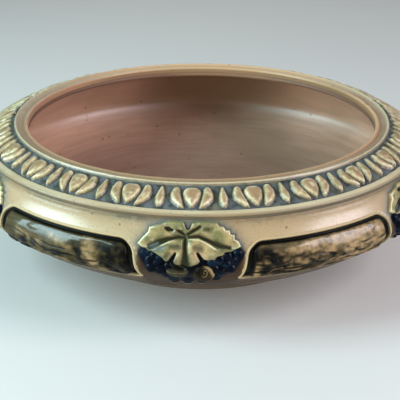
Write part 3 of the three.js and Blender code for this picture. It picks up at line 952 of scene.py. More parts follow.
def body_section(flank):
    """Half section of the body from the middle of its underside, up the flank and down the inside."""
    sizes = vessel()
    border = Border()
    _, lip_inner = lip_circles()
    tongue_bottom = LIP_LOW.z - sizes.tongue
    floor = FOOT_HIGH.z + sizes.wall
    foot_inner = FOOT_HIGH.x - sizes.foot_width
    foot_outer = FOOT_HIGH.x - sizes.foot_flare
    inner_belly = flank.belly - sizes.wall
    half_slope = border.fall * border.length / 2
    slope_top, slope_foot = border.middle - half_slope, border.middle + half_slope
    shoulder = bezier(
        (lip_inner, tongue_bottom),
        (slope_top[0] + sizes.shoulder_round, tongue_bottom - sizes.border_fall / 2),
        (inner_belly, sizes.belly_height + sizes.shoulder_round),
        (inner_belly, sizes.belly_height),
        steps=16,
    )
    bowl = bezier(
        (inner_belly, sizes.belly_height),
        (inner_belly, sizes.belly_height - sizes.belly_round),
        (foot_outer + sizes.foot_run, floor + sizes.foot_rise),
        (foot_inner, floor),
        steps=28,
    )
    fine = np.linspace(0, ORNAMENTED, 61)
    coarse = np.linspace(ORNAMENTED, flank.down[-1], 25)
    radius, height = flank.at(np.concatenate([fine[:-1], coarse]))
    return np.vstack([
        [(0, FOOT_HIGH.z), (foot_inner / 2, FOOT_HIGH.z), (foot_inner, FOOT_HIGH.z)],
        np.column_stack([radius, height])[::-1],
        [(slope_foot[0], BEAD_LOW.z), slope_foot, slope_top],
        [(slope_top[0], LIP_LOW.z), (lip_inner, LIP_LOW.z)],
        shoulder,
        bowl[1:],
        [(share * foot_inner, floor) for share in (0.8, 0.6, 0.4, 0.2, 0)],
    ])


def nearest_ornament(across, flank):
    """Distance across from the middle of the nearest medallion, and from that of the nearest panel."""
    half = flank.pitch / 2
    return (across + half) % flank.pitch - half, across % flank.pitch - half


def set_inside_faces(piece, within, height):
    """Gives the second material to the faces of the body that lie inside the bowl."""
    inner = within & (height > FOOT_HIGH.z + ON_LEVEL)
    for face in piece.data.polygons:
        face.material_index = int(inner[list(face.vertices)].all())


def mark_flank(piece, on_flank, medallion, down, panel_edge):
    """Marks the flank's stain, halo, worn edge and painted shade, and says how bare of gloss its points
    are.
    """
    leaf = inside_outline(medallion, down, leaf_outline())
    bed = within_strokes(medallion, down, GRAPE_BED_AND_SHADE)
    # Painted shade under the bead, partly stain pooled in its groove, fading below it
    stain = on_flank * np.exp(-np.clip(down - vessel().groove_drop, 0, None) / (1.5 * MM))
    # Painted shade: brown on the medallion's ground below the leaf and low on the flank, where shade falls
    under_leaf = ease(down, 10 * MM, 17 * MM) * fade(np.abs(medallion), 20 * MM, 26 * MM)
    shade = on_flank * np.maximum(0.95 * under_leaf, 0.85 * ease(down, 22 * MM, 33 * MM))
    mark(piece, "hollow", stain)
    # Halo round the leaf: pooled glaze, and partly a painted shadow of the leaf
    mark(piece, "halo", on_flank * np.exp(np.minimum(leaf + 0.3 * MM, 0) / (1.6 * MM)))
    mark(piece, "ridge", on_flank * 0.15 * fringe(panel_edge + ornament().panel_ridge, 0.8 * MM))
    mark(piece, "shade", shade)
    # Dark glaze round the grapes, widened into painted shadow beside them
    mark(piece, "dark", on_flank * ease(bed, -1.8 * MM, 0.2 * MM))
    return np.maximum(1.1 * shade, stain)


def mark_inside(piece, within, angle, height):
    """Marks painted shade inside, under the lip and at the back, and the floor; says how bare of gloss it
    is.
    """
    floor = FOOT_HIGH.z + vessel().wall
    below_lip = LIP_LOW.z - height
    behind = ease(np.abs(angle), 0.78 * math.pi, 0.95 * math.pi)
    under_lip = 0.9 * fade(below_lip, 1 * MM, 6 * MM)
    # Painted shade: darker under the lip all round, and further down at the back
    mark(piece, "under", within * np.maximum(under_lip, 0.8 * behind * fade(below_lip, 14 * MM, 42 * MM)))
    mark(piece, "floor", fade(height, floor + 2 * MM, FOOT_HIGH.z + 24 * MM))
    return within * (0.1 + 0.9 * fade(below_lip, 3 * MM, 7 * MM))


def body_material():
    """Tan glaze of the flank, blushed and stained round the ornament, with painted brown shade under it.
    """
    tones = glazes()
    layers = [
        cloud(tones.sprig, 32.0, 0.42, 0.66, 0.5),
        cloud(tones.blush, 16.0, 0.4, 0.65, 0.5),
        # Painted shade under the medallions and low on the flank
        wash("shade", tones.shade),
        # Halo round the leaf: pooled glaze and painted shadow
        wash("halo", tones.halo),
        # Dark glaze round the grapes, and painted shadow beside them
        wash("dark", tones.grape),
        specks(0.25, 1000.0, tones.shade, 0.5),
        specks(0.05, 420.0, tones.lip_dark, 0.75),
    ]
    # Its pool colour is the painted shade under the bead, partly pooled stain
    return glaze_material(
        "Tan body glaze", tones.body, tones.body_thin, tones.stain, (0.3, 0.42), layers,
        mottle=0.15, grain=45.0, granules=0.45, bump=0.3, specular=0.05, coat=0.27,
    )


def inside_material():
    """Pinkish-brown glaze of the inside, brushed on round the bowl, with painted shade under the lip."""
    tones = glazes()
    layers = [
        wash("floor", tones.inside_floor),
        brushed(tones.inside_dark, 0.36, 0.68, 0.25),
        # Painted shade under the lip and at the back
        wash("under", tones.inside_dark),
        cloud(tones.lip_flat, 14.0, 0.45, 0.7, 0.5),
        specks(0.03, 300.0, tones.inside_dark, 0.7),
    ]
    return glaze_material(
        "Brown inside glaze", tones.inside, tones.inside, tones.inside_dark, (0.5, 0.6), layers,
        mottle=0.25, grain=25.0, granules=0.15, coat=0.42,
    )


# Foot, lip and bead

class BOWL_OT_foot(bpy.types.Operator):
    """Turn the foot ring"""

    bl_idname = "bowl.foot"
    bl_label = "Foot ring"

    def execute(self, context):
        bm = turned(foot_section(), vessel().segments // 2)
        piece = new_piece(bm, "turned_foot", ["foot_ring"], [foot_material()])
        bm.free()
        mark_relief(piece, passes=6, depth=0.15 * MM)
        return {"FINISHED"}


def foot_section():
    """Section of the foot: hollow inside, rounded where it stands, and flared outside."""
    sizes = vessel()
    inner = FOOT_HIGH.x - sizes.foot_width
    outer, top = FOOT_HIGH.x, FOOT_HIGH.z
    flare = sizes.foot_flare
    edge = [
        (inner, top), (inner + 0.3 * flare, top / 2), (inner + flare, 0.4 * flare),
        (inner + 1.8 * flare, 0), (outer - 1.2 * flare, 0), (outer - 0.3 * flare, 0.3 * flare),
        (outer, 0.95 * flare), (outer - 0.25 * flare, top / 2), (outer - flare, top),
    ]
    section = np.vstack([rounded(edge, steps=4), edge[:1]])
    return np.clip(section, 0, [outer, top])


def foot_material():
    """Thin brown glaze of the foot, greyer over its edges."""
    tones = glazes()
    layers = [specks(0.1, 600.0, tones.stain)]
    return glaze_material(
        "Brown foot glaze", tones.inside_dark, tones.stain, tones.shade, (0.4, 0.55), layers,
        mottle=0.5, grain=70.0,
    )


class BOWL_OT_lip(bpy.types.Operator):
    """Turn the lip: a ridge that wanders a little, a channel, and a roll that falls to the inside"""

    bl_idname = "bowl.lip"
    bl_label = "Lip ring"

    def execute(self, context):
        sizes = vessel()
        bm = turned(lip_section(), sizes.segments)
        piece = new_piece(bm, "dished_lip", ["lip_ring"], [lip_material()])
        bm.free()
        places = points_of(piece)
        radius, angle, height = around(places)
        _, inner = lip_circles()
        left, _, _ = lip_sides(angle)
        upper = ease(height, LIP_LOW.z + 1.2 * MM, LIP_HIGH.z)
        chip = upper * lip_chips(radius, angle)
        roll = fade(radius, inner + 1.4 * MM, inner + 2.4 * MM)
        wander = ripple(*places[:, :2].T, 3.0, 9 * MM, 9 * MM)
        wander += 0.6 * ripple(*places[:, :2].T, 8.0, 3 * MM, 3 * MM)
        sunk = sizes.lip_wander * upper * (1 + wander) + sizes.chip_depth * chip
        sunk += sizes.roll_wear * upper * left * roll
        places[:, 2] = np.minimum(height - sunk, LIP_HIGH.z)
        move_points(piece, places)
        mark_lip(piece, roll, chip)
        return {"FINISHED"}


def lip_circles():
    """Radii of the crest of the lip's ridge and of the lip's inside."""
    ridge = LIP_HIGH.x - vessel().lip_ridge
    return ridge, ridge - vessel().lip_width


def lip_section():
    """Section of the lip, from the foot of its outer side over the ridge, channel and roll."""
    sizes = vessel()
    outer, top, low = LIP_HIGH.x, LIP_HIGH.z, LIP_LOW.z
    ridge, inner = lip_circles()
    channel, roll = top - sizes.lip_dish, top - sizes.lip_fall
    edge = [
        (outer, low), (outer, low + 1.6 * MM), (outer - 0.05 * MM, top - 0.9 * MM),
        (ridge + 0.25 * MM, top - 0.2 * MM), (ridge - 0.2 * MM, top - 0.02 * MM),
        (ridge - 0.9 * MM, top - 0.55 * sizes.lip_dish), (ridge - 2.3 * MM, channel),
        (inner + 2.2 * MM, channel + 0.05 * MM), (inner + 1.3 * MM, roll - 0.1 * MM),
        (inner + 0.8 * MM, roll), (inner + 0.3 * MM, roll - 0.25 * MM), (inner, roll - MM), (inner, low),
    ]
    return np.vstack([rounded(edge, steps=5), edge[:1]])


def lip_sides(angle):
    """How much each point belongs to the left, the right and the back of the lip, from 0 to 1."""
    turn = np.degrees(angle)
    left = ease(-turn, 25, 60) * fade(-turn, 120, 150)
    right = ease(turn, 35, 75) * fade(turn, 104, 128)
    return left, right, ease(np.abs(turn), 105, 150)


def lip_chips(radius, angle):
    """How deep each point lies in a chip, from 0 to 1."""
    depth = np.zeros(len(radius))
    for turn, out, half_length, half_width in LIP_CHIPS:
        along = (angle - math.radians(turn)) * radius / (half_length * MM)
        away = np.hypot(along, (radius - out * MM) / (half_width * MM))
        depth = np.maximum(depth, fade(away, 0.4, 1))
    return depth


def mark_lip(piece, roll, chip):
    """Marks the lip's glaze, browner in the channel; its side-to-side changes are painted light and shade.
    """
    radius, angle, height = around(points_of(piece))
    ridge, inner = lip_circles()
    left, right, behind = lip_sides(angle)
    roll_top = LIP_HIGH.z - vessel().lip_fall
    below_roll = ease(roll_top - height, 0.3 * MM, 1.6 * MM)
    inward = fade(radius, inner, inner + 0.5 * MM) * below_roll
    hollow = fade(radius, ridge - 1.6 * MM, ridge - 0.4 * MM)
    outside = ease(radius, ridge + 0.15 * MM, ridge + 0.55 * MM)
    # Painted light: the channel darker at the right and paler at the back; the roll warmer at the sides,
    # all the back lighter
    mark(piece, "channel", hollow * (0.75 + 0.25 * right - 0.05 * left - 0.6 * behind))
    mark(piece, "roll", np.maximum(roll * (0.35 + 0.65 * (left + right)), 0.75 * behind))
    mark(piece, "ridge", (1 - behind) * hump(radius - ridge + 0.15 * MM, 0.5 * MM))
    mark(piece, "hollow", 0.9 * (1 - 0.6 * behind) * outside)
    mark(piece, "left", left)
    # Painted shade on the lip's inner face, less on the left
    mark(piece, "inner", inward * (0.6 - 0.4 * left))
    mark(piece, "chip", 0.85 * chip)
    mark(piece, "bare", np.maximum.reduce([1.1 * inward, 0.5 * hollow, chip]))


def lip_material():
    """Cream-tan lip glaze, warm on its roll, brown in its channel and chips, with painted light and shade.
    """
    tones = glazes()
    pink = [0.55 * inside + 0.45 * flat for inside, flat in zip(tones.inside, tones.lip_flat)]
    layers = [
        # Painted light from side to side in the channel and on the roll
        wash("channel", tones.lip_flat),
        wash("roll", tones.lip_roll, wash("left", pink)),
        cloud(tones.lip, 40.0, 0.5, 0.75, 0.4),
        # Painted shade on the inner face
        wash("inner", tones.inside_dark),
        wash("chip", tones.lip_dark),
        specks(0.08, 500.0, tones.lip_dark),
    ]
    return glaze_material(
        "Cream lip glaze", tones.lip, tones.bead, tones.stain, (0.34, 0.46), layers,
        mottle=0.2, grain=50.0, specular=0.05, coat=0.36,
    )


class BOWL_OT_bead(bpy.types.Operator):
    """Turn the half-round shoulder bead"""

    bl_idname = "bowl.bead"
    bl_label = "Shoulder bead"

    def execute(self, context):
        sizes = vessel()
        low, top = BEAD_LOW.z, BEAD_HIGH.z
        outer, inner = BEAD_HIGH.x, BEAD_HIGH.x - sizes.bead_width - sizes.bead_lap
        edge = [
            (inner, low), (inner, top - 1.2 * MM), (inner + 0.6 * MM, top - 0.25 * MM),
            (inner + 1.4 * MM, top), (outer - 0.6 * MM, top - 0.3 * MM),
            (outer - 0.1 * MM, top - 0.7 * MM), (outer, top - 1.1 * MM),
            (outer - 0.3 * MM, top - 1.7 * MM), (outer - 1.0 * MM, top - 2.3 * MM),
            (outer - 1.2 * MM, low),
        ]
        bm = turned(np.vstack([rounded(edge, steps=5), edge[:1]]), sizes.segments)
        piece = new_piece(bm, "round_bead", ["shoulder_bead"], [bead_material()])
        bm.free()
        places = points_of(piece)
        wander = ripple(*places[:, :2].T, 5.0, 11 * MM, 11 * MM)
        places[:, 2] -= sizes.bead_wander * ease(places[:, 2], low, top) * (1 + wander)
        move_points(piece, places)
        radius, _, height = around(places)
        outside = radius > inner + 2 * MM
        mark(piece, "ridge", fade(top - height, 0.2 * MM, 0.8 * MM))
        # Painted shade: the bead's outer side is darker below its top, and its foot is darker still,
        # partly stain
        mark(piece, "under", 0.6 * ease(top - height, 0.25 * MM, 0.7 * MM) * outside)
        mark(piece, "hollow", 0.55 * ease(top - height, 1.3 * MM, 2.1 * MM))
        return {"FINISHED"}


def bead_material():
    """Cream glaze of the bead, with painted shade on its outer side and painted shade and stain beneath.
    """
    tones = glazes()
    layers = [
        # Painted shade on the bead's outer side
        wash("under", tones.shade),
        cloud(tones.blush, 30.0, 0.4, 0.7, 0.4),
        # Painted shade and stain at the bead's foot
        wash("hollow", tones.stain),
        specks(0.1, 500.0, tones.lip_dark),
    ]
    return glaze_material(
        "Cream bead glaze", tones.bead, tones.bead, tones.stain, (0.3, 0.42), layers,
        mottle=0.3, grain=50.0,
    )


# Border

class BOWL_OT_border(bpy.types.Operator):
    """Press the border's sprigs: an egg between two husks, and a dart, each a little different"""

    bl_idname = "bowl.border"
    bl_label = "Egg-and-dart border"

    def execute(self, context):
        fineness = ornament().fineness
        border = Border()
        material = border_material()
        pitch, half_length = sprig_size(border)
        slab = slab_of(math.ceil(pitch / fineness), math.ceil(2 * half_length / fineness))
        for number in range(SPRIGS):
            name = f"{number + 1:02d}"
            node = f"egg_sprig_{name}"
            piece = new_piece(slab, f"border_sprig_{name}", [node], [material])
            shape_sprig(piece, border, number)
        slab.free()
        return {"FINISHED"}


def sprig_size(border):
    """Width of a sprig round the bowl, and half its length down the slope."""
    return border.middle[0] * SPRIG_TURN, border.length / 2 + ornament().sprig_lap


def shape_sprig(piece, border, number):
    """Shapes a sprig, and marks the edges, sides and creases of its forms and the ground between them."""
    relief = ornament()
    pitch, half_length = sprig_size(border)
    across, up, on_top = slab_places(piece)
    rim = np.minimum(pitch / 2 * (1 - np.abs(across)), half_length * (1 - np.abs(up)))
    across, up = relief.sprig_middle + across * pitch / 2, up * half_length
    inside = sprig_inside(across, up, pitch, number)
    uneven = ripple(across + number * pitch, up, 2.0, 4 * MM, 3 * MM) * ease(rim, 0, 1 * MM)
    crown = SPRIG_FOOT + (1 - SPRIG_FOOT) * quarter_round(inside, relief.sprig_edge)
    fillet = SPRIG_FOOT * np.exp(np.minimum(inside, 0) / (0.3 * MM))
    form = np.where(inside > 0, crown, fillet)
    proud = relief.sprig_ground + relief.sprig_uneven * uneven + relief.sprig_relief * form
    proud = np.where(on_top, proud, -relief.sprig_ground)
    move_points(piece, border.laid(across + number * pitch, up, proud))
    # Cream on the bevels: glaze thin over the edges, partly painted highlight
    bevel = fringe(inside - 0.7 * MM, 0.45 * MM) * (inside > 0)
    mark(piece, "ridge", np.clip(0.85 + 0.6 * uneven, 0, 1) * bevel)
    mark(piece, "hollow", fade(inside, -0.3 * MM, 0.25 * MM))
    mark(piece, "side", fade(inside, 0.1 * MM, 1.1 * MM))
    # Painted shade in the creases beside the forms, partly pooled glaze
    mark(piece, "crease", 0.9 * fringe(inside - 0.05 * MM, 0.65 * MM))


def sprig_inside(across, up, pitch, number):
    """How far points lie inside a sprig's nearest form; the forms shift a little from one to the next."""
    def shift(stroke, middle, mirror, seed):
        lean, slide, grow = (0.5 * noise.noise((number * 1.7, seed, i * 3.1)) for i in range(3))
        middle += 0.5 * slide
        return [(middle + mirror * x + 0.12 * lean * y, y, r * (1 + 0.16 * grow)) for x, y, r in stroke]

    egg = shift(EGG, 0, 1, 0.3)
    husks = [shift(HUSK, 0, 1, 4.6), shift(HUSK, 0, -1, 8.2)]
    dart = shift(DART, pitch / 2 / MM, 1, 12.9)
    return within_strokes(across, up, [egg, *husks, dart])


def border_material():
    """Ochre forms with cream edges and yellow-green sides, on a ground of mottled blue-grey."""
    tones = glazes()
    ground = [
        cloud(tones.halo, 330.0, 0.35, 0.65, 0.9),
        cloud(tones.sprig_side, 150.0, 0.5, 0.75, 0.6),
        cloud(tones.leaf_pool, 260.0, 0.45, 0.7, 0.7),
        cloud(tones.bark_pool, 210.0, 0.5, 0.72, 0.6),
        # Painted shade in the creases, partly pooled glaze
        wash("crease", tones.bark_pool),
    ]
    layers = [
        cloud(tones.sprig_side, 240.0, 0.45, 0.7, 0.55),
        cloud(tones.sprig_thin, 420.0, 0.5, 0.75, 0.6),
        broken_wash("side", tones.sprig_side, 500.0, 3.0, 0.3, 0.7, 0.1, 0.75),
        wash("hollow", tones.sprig_pool, *ground),
        specks(0.12, 800.0, tones.lip_dark),
    ]
    return glaze_material(
        "Ochre border glaze", tones.sprig, tones.sprig_thin, tones.sprig_pool, (0.28, 0.4), layers,
        mottle=0.2, grain=110.0, granules=0.5, bump=0.15, specular=0.5,
    )


# Bark panels

class BOWL_OT_panels(bpy.types.Operator):
    """Model the bark panels: a ridge, a groove and lumps of bark crossed by furrows"""

    bl_idname = "bowl.panels"
    bl_label = "Bark panels"

    def execute(self, context):
        flank = Flank()
        material = bark_material()
        lines = panel_lines(flank)
        slab = slab_of(*(len(line) - 1 for line in lines), curved_back=True)
        for number in range(MEDALLIONS):
            name = str(number + 1)
            node = f"bark_panel_{name}"
            piece = new_piece(slab, f"bark_relief_{name}", [node], [material])
            shape_panel(piece, flank, lines, number)
        slab.free()
        return {"FINISHED"}


def panel_lines(flank):
    """Grid lines of a panel across and up, from -1 to 1, close together along its ridge and groove."""
    relief = ornament()
    half_height = relief.panel_height / 2 + relief.panel_ridge
    half_width = (flank.pitch - relief.medallion_width) / 2 + relief.panel_ridge
    band = relief.panel_ridge + 2.2 * relief.groove_width
    fine = 0.8 * relief.fineness
    across_lines = lines_between(half_width, fine, 1.2 * relief.fineness, band)
    return across_lines, lines_between(half_height, fine, relief.fineness, band)


def shape_panel(piece, flank, lines, number):
    """Shapes a panel in its pocket and marks its glaze."""
    relief = ornament()
    across, up, on_top = slab_places(piece)
    across, up = (
        np.interp(share, np.linspace(-1, 1, len(line)), line) for share, line in zip((across, up), lines)
    )
    across, down, inside = panel_place(across, up, relief.panel_ridge)
    half_width = (flank.pitch - relief.medallion_width + relief.panel_splay * (1 - up)) / 2
    end = half_width - np.abs(across)
    proud, warp = bark_height(across, down, inside, end, up, number)
    proud = np.where(on_top, proud, relief.pocket_gap - relief.pocket_depth)
    move_points(piece, flank.laid(across + flank.start(number + 0.5), down, proud))
    mark_relief(piece, passes=14, depth=0.28 * MM)
    mark_panel_edge(piece, inside, end, up)
    mark_bark(piece, across, down, warp, inside, up, number)


def panel_place(across, up, grow):
    """Flat places in a panel, from -1 to 1 across and up, and how far inside its edge each lies."""
    sizes = ornament()
    corner = sizes.panel_corner + grow
    half_height = sizes.panel_height / 2 + grow
    plain_width = BODY_HIGH.y * MEDALLION_TURN - sizes.medallion_width
    half_width = plain_width / 2 + grow + sizes.panel_splay * (1 - up) / 2
    x, y = np.abs(across) * half_width, up * half_height
    inside = np.minimum(half_width - x, half_height - np.abs(y)) - grow
    past_x, past_y = x - half_width + corner, y - half_height + corner
    in_corner = (past_x > 0) & (past_y > 0)
    reach = np.maximum(past_x, past_y) / np.where(in_corner, np.hypot(past_x, past_y), 1)
    x = np.where(in_corner, half_width - corner + past_x * reach, x)
    y = np.where(in_corner, half_height - corner + past_y * reach, y)
    return np.sign(across) * x, sizes.panel_top + sizes.panel_height / 2 - y, inside


def panel_outline(grow):
    """Points round a panel's outline, grown outwards."""
    steps = np.linspace(-1, 1, 41)
    one = np.ones_like(steps)
    across = np.concatenate([steps, one, -steps, -one])
    up = np.concatenate([-one, steps, one, -steps])
    x, y, _ = panel_place(across, up, grow)
    edge = np.column_stack([x, y])
    return edge[np.hypot(*(edge - np.roll(edge, -1, axis=0)).T) > WELD]


def bark_height(across, down, inside, end, up, number):
    """Height of a panel's ridge, groove and bark, and the warp of the bark's grain."""
    relief = ornament()
    seed = 5.3 * number
    warp = relief.bark_warp * ripple(across, down, seed, 13 * MM, 8 * MM)
    lumps = ripple(across + warp, down, seed + 1.7, 10 * MM, 7 * MM)
    furrows = 1 - 3 * np.abs(ripple(across + warp, down + 0.6 * warp, seed + 7.9, 10 * MM, 3 * MM))
    grain = ripple(across, down + 0.5 * warp, seed + 3.1, 6 * MM, 1.4 * MM)
    low = fade(up, -0.5, 0.45)
    shape = 0.5 * lumps + (0.15 + 0.85 * low) * (0.35 * grain - 0.8 * np.clip(furrows, 0, 1))
    ridge = relief.ridge_height * (0.1 + 0.9 * panel_ends(up)) * hump(inside + 0.4 * MM, 0.42 * MM)
    skirt = -relief.ridge_skirt * fade(inside + relief.panel_ridge, 0, relief.ridge_skirt)
    fall = ease(inside, -0.1 * MM, 0.6 * MM)
    groove = relief.groove_width * (1 - 0.5 * fade(up, -0.9, -0.5))
    rise = quarter_round(inside - groove + 0.5 * MM, 3.4 * MM - 1.6 * MM * low)
    rise *= quarter_round(end - 1.4 * relief.groove_width, 3.2 * MM)
    bark = relief.bark_relief * shape * ease(inside, groove, 4 * MM)
    field = relief.bark_crown * (0.45 + 0.55 * low) + bark
    proud = ridge + skirt - relief.groove_depth * fall * (1 - rise) + field * rise
    return np.minimum(proud, relief.bark_top), warp


def panel_ends(up):
    """1 beside a panel's ends, where its ridge stands proud, and 0 above its upper edge."""
    return fade(up, 0.7, 0.98)


def mark_panel_edge(piece, inside, end, up):
    """Marks a panel's ridge with painted highlight at its ends and painted shade below, and the bark's
    groove.
    """
    groove_width = ornament().groove_width
    groove_end = np.maximum(
        fade(inside, groove_width - 0.4 * MM, groove_width + 0.9 * MM),
        fade(end, 1.9 * groove_width, 2.6 * groove_width),
    )
    mark(piece, "rim", fade(inside, -0.25 * MM, 0.3 * MM))
    mark(piece, "groove", ease(inside, -0.2 * MM, 0.4 * MM) * groove_end)
    # Painted highlight on the ridge's ends
    mark(piece, "ends", 0.5 * panel_ends(up))
    # Painted shade along the ridge below the panel
    mark(piece, "below", 0.9 * fade(up, -0.93, -0.84) * ease(end, 0.5 * MM, 4 * MM))


def mark_bark(piece, across, down, warp, inside, up, number):
    """Marks the bark's glaze: greener on every second panel, glossy on its bulge, wiped or smoked, darker
    low down.
    """
    groove_width = ornament().groove_width
    second = number % 2
    bulge = ease(up, 0.15, 0.5) * ease(inside, 1.2 * groove_width, 1.8 * groove_width)
    broken = 1.6 * MM * ripple(across, down, 9.0 * number, 5 * MM, 3 * MM)
    broken += 1.3 * MM * ripple(across, down, 9.0 * number + 4, 1.8 * MM, 1.2 * MM)
    bent, sunk = across + warp, down + 0.4 * warp
    wiped = ease(within_strokes(bent, sunk, WIPED[second]) + broken, -2.2 * MM, 1.6 * MM)
    smoke = ease(within_strokes(bent, sunk, SMOKED[second]) - broken, -2.4 * MM, 1.6 * MM)
    # Darker towards the bottom on every second panel, and in a band along the groove
    dim = 0.65 * second * fade(up, -0.35, 0.35)
    border = fade(inside, 1.2 * MM, 3.0 * MM)
    mark(piece, "olive", np.full(len(up), 0.85 if second else 0.15))
    mark(piece, "bare", 1 - 0.5 * bulge)
    mark(piece, "wiped", (1 - 0.25 * second) * wiped)
    mark(piece, "smoked", np.maximum.reduce([smoke, dim, border]))


def bark_material():
    """Brown and olive bark glaze, glossy, wiped to cream in patches and near black in others."""
    tones = glazes()
    layers = [
        wash("olive", tones.bark_green),
        cloud(tones.bark, 110.0, 0.45, 0.7, 0.6),
        broken_wash("smoked", tones.bark_pool, 260.0, 4.0, 0.3, 0.7, 0.45, 1.3),
        broken_wash("wiped", tones.bark_thin, 420.0, 4.0, 0.25, 0.65, 0.075, 0.75),
        sharp_wash("hollow", tones.bark_pool, 0.15, 0.7),
        wash("groove", tones.bark_pool),
        # Round the bark: painted highlight on the ridge's ends and painted shade along its foot
        wash("rim", tones.body, wash("ends", tones.body_thin), wash("below", tones.shade)),
    ]
    return glaze_material(
        "Bark glaze", tones.bark, tones.bark_thin, tones.bark_pool, (0.3, 0.45), layers,
        mottle=0.5, grain=90.0, bump=0.12, specular=0.1, coat=0.14,
    )


# Vine medallions

class BOWL_OT_leaves(bpy.types.Operator):
    """Model the vine leaves: toothed, swelling between cut veins, with a curled tip"""

    bl_idname = "bowl.leaves"
    bl_label = "Vine leaves"

    def execute(self, context):
        relief = ornament()
        flank = Flank()
        material = leaf_material()
        slab = slab_of(relief.leaf_steps, relief.leaf_steps)
        small_slab = slab_of(relief.curl_steps, relief.curl_steps)
        for number in range(MEDALLIONS):
            name = str(number + 1)
            node = f"vine_leaf_{name}"
            piece = new_piece(slab, f"leaf_relief_{name}", [node], [material])
            shape_leaf(piece, flank, number)
            curl = new_piece(small_slab, f"leaf_curl_{name}", [node], [material])
            shape_curl(curl, flank, number)
        slab.free()
        small_slab.free()
        return {"FINISHED"}


def leaf_outline():
    """Edge of the leaf, in metres across and down from the middle of its medallion."""
    return np.array(LEAF_EDGE, float) * MM


def shape_leaf(piece, flank, number):
    """Shapes a leaf, and marks where its glaze pools and is stained, its painted shade and painted
    highlights.
    """
    relief = ornament()
    across, up, on_top = slab_places(piece)
    middle = np.array(LEAF_MIDDLE) * MM
    (across, down), _ = spread(across, up, leaf_outline(), middle)
    inside = inside_outline(across, down, leaf_outline())
    strokes = (LEAF_VEINS, LEAF_PITS, LEAF_FOLDS, LEAF_DARK_PATCHES, LEAF_STAINS)
    veins, pits, folds, dark_patches, stains = (within_strokes(across, down, chains) for chains in strokes)
    half_width, half_height = np.array(LEAF_OVAL) * MM
    oval_reach = np.hypot((across - middle[0]) / half_width, (down - middle[1]) / half_height)
    away_from_cuts = np.clip(-np.maximum(veins, pits), 0, None)
    swell = (1 - np.exp(-away_from_cuts / (2.3 * MM))) * (1.15 - 0.85 * oval_reach ** 2)
    waves = ripple(across, down, 4.0 + number, 3.6 * MM, 3 * MM) * ease(inside, 0, 2 * MM)
    proud = relief.leaf_rim * quarter_round(inside + 0.02 * MM, 0.8 * MM)
    proud += relief.leaf_swell * np.clip(swell, 0, 1) + relief.leaf_wave * waves
    proud += relief.leaf_fold * ease(folds, -0.8 * MM, 0.4 * MM)
    proud -= relief.vein_depth * ease(veins, -0.9 * MM, 0.6 * MM)
    proud -= (relief.leaf_rim + relief.leaf_fold) * ease(pits, -0.45 * MM, 0.4 * MM)
    proud = np.clip(proud, 0.15 * MM * (inside > 0.3 * MM), relief.leaf_top)
    proud = np.where(on_top, proud, -relief.seat)
    move_points(piece, flank.laid(across + flank.start(number), down, proud))
    # Painted shade: darker beside the veins and on the lower lobes, which face away from the light
    painted_leaf_shade = 0.45 * np.exp(np.minimum(veins, 0) / (1.5 * MM)) + 0.28 * ease(down, 10 * MM, 17 * MM)
    cuts = np.maximum(ease(veins, -0.65 * MM, 0.35 * MM), ease(pits, -0.5 * MM, 0.15 * MM))
    hollow = np.maximum.reduce([cuts, 0.6 * ease(dark_patches, -1.8 * MM, 0.6 * MM), painted_leaf_shade])
    # Painted highlight along the upper edges at both sides, and along the folds below the veins
    sides = ease(np.abs(across - middle[0]), 11 * MM, 15 * MM) * fade(down, 10 * MM, 12.5 * MM)
    lit = (0.1 + 0.7 * sides) * fringe(inside - 0.45 * MM, 0.5 * MM)
    mark(piece, "hollow", hollow)
    mark(piece, "ridge", np.maximum(lit, 0.9 * ease(folds, -0.35 * MM, 0.35 * MM)))
    mark(piece, "halo", 0.8 * ease(stains, -0.6 * MM, 0.5 * MM))
    mark(piece, "bare", hollow)


def shape_curl(piece, flank, number):
    """Shapes a leaf's curled tip: a rolled form with a hollow in its upper side, edged with light."""
    relief = ornament()
    across, up, on_top = slab_places(piece)
    middle = np.array(CURL_MIDDLE) * MM
    (across, down), reach = spread(across, up, oval(*middle, *(np.array(CURL_HALF) * MM)), middle)
    pit = ease(inside_stroke(across, down, CURL_PIT), -0.6 * MM, 0.4 * MM)
    dome = CURL_HEIGHT * MM * np.sqrt(np.clip(1 - reach ** 2, 0, 1))
    proud = dome - CURL_PIT_DEPTH * MM * pit + relief.edge_lift
    proud = np.where(on_top, proud, -relief.seat)
    move_points(piece, flank.laid(across + flank.start(number), down, proud))
    mark(piece, "ridge", 0.45 * hump(down - CURL_LIGHT * MM, 0.35 * MM))
    # Near black, darker still in its hollow and at its edge as painted shade
    mark(piece, "brown", 0.88 + 0.12 * np.maximum(pit, ease(reach, 0.84, 1.0)))
    mark(piece, "bare", np.full(len(down), 0.9))


def leaf_material():
    """Olive-yellow leaf glaze that breaks to tan."""
    tones = glazes()
    layers = [
        cloud(tones.leaf_tan, 110.0, 0.4, 0.62, 0.8),
        cloud(tones.leaf_pool, 300.0, 0.45, 0.74, 0.55),
        cloud(tones.leaf_thin, 450.0, 0.55, 0.8, 0.4),
        # The curl near black, darker in its hollow and at its edge as painted shade
        wash("brown", tones.bark_pool),
        # Painted highlight on the edges and folds
        sharp_wash("ridge", tones.leaf_thin, 0.35, 1.0),
        # Pooled glaze in the cuts; painted shade beside the veins and low on the leaf
        sharp_wash("hollow", tones.leaf_pool, 0.1, 0.9),
        wash("halo", tones.halo),
        specks(0.1, 700.0, tones.leaf_pool),
    ]
    return glaze_material(
        "Olive leaf glaze", tones.leaf, tones.leaf_thin, tones.leaf_pool, (0.26, 0.38), layers,
        mottle=0.3, grain=120.0, granules=0.5, bump=0.15, specular=0.05, coat=0.28,
    )


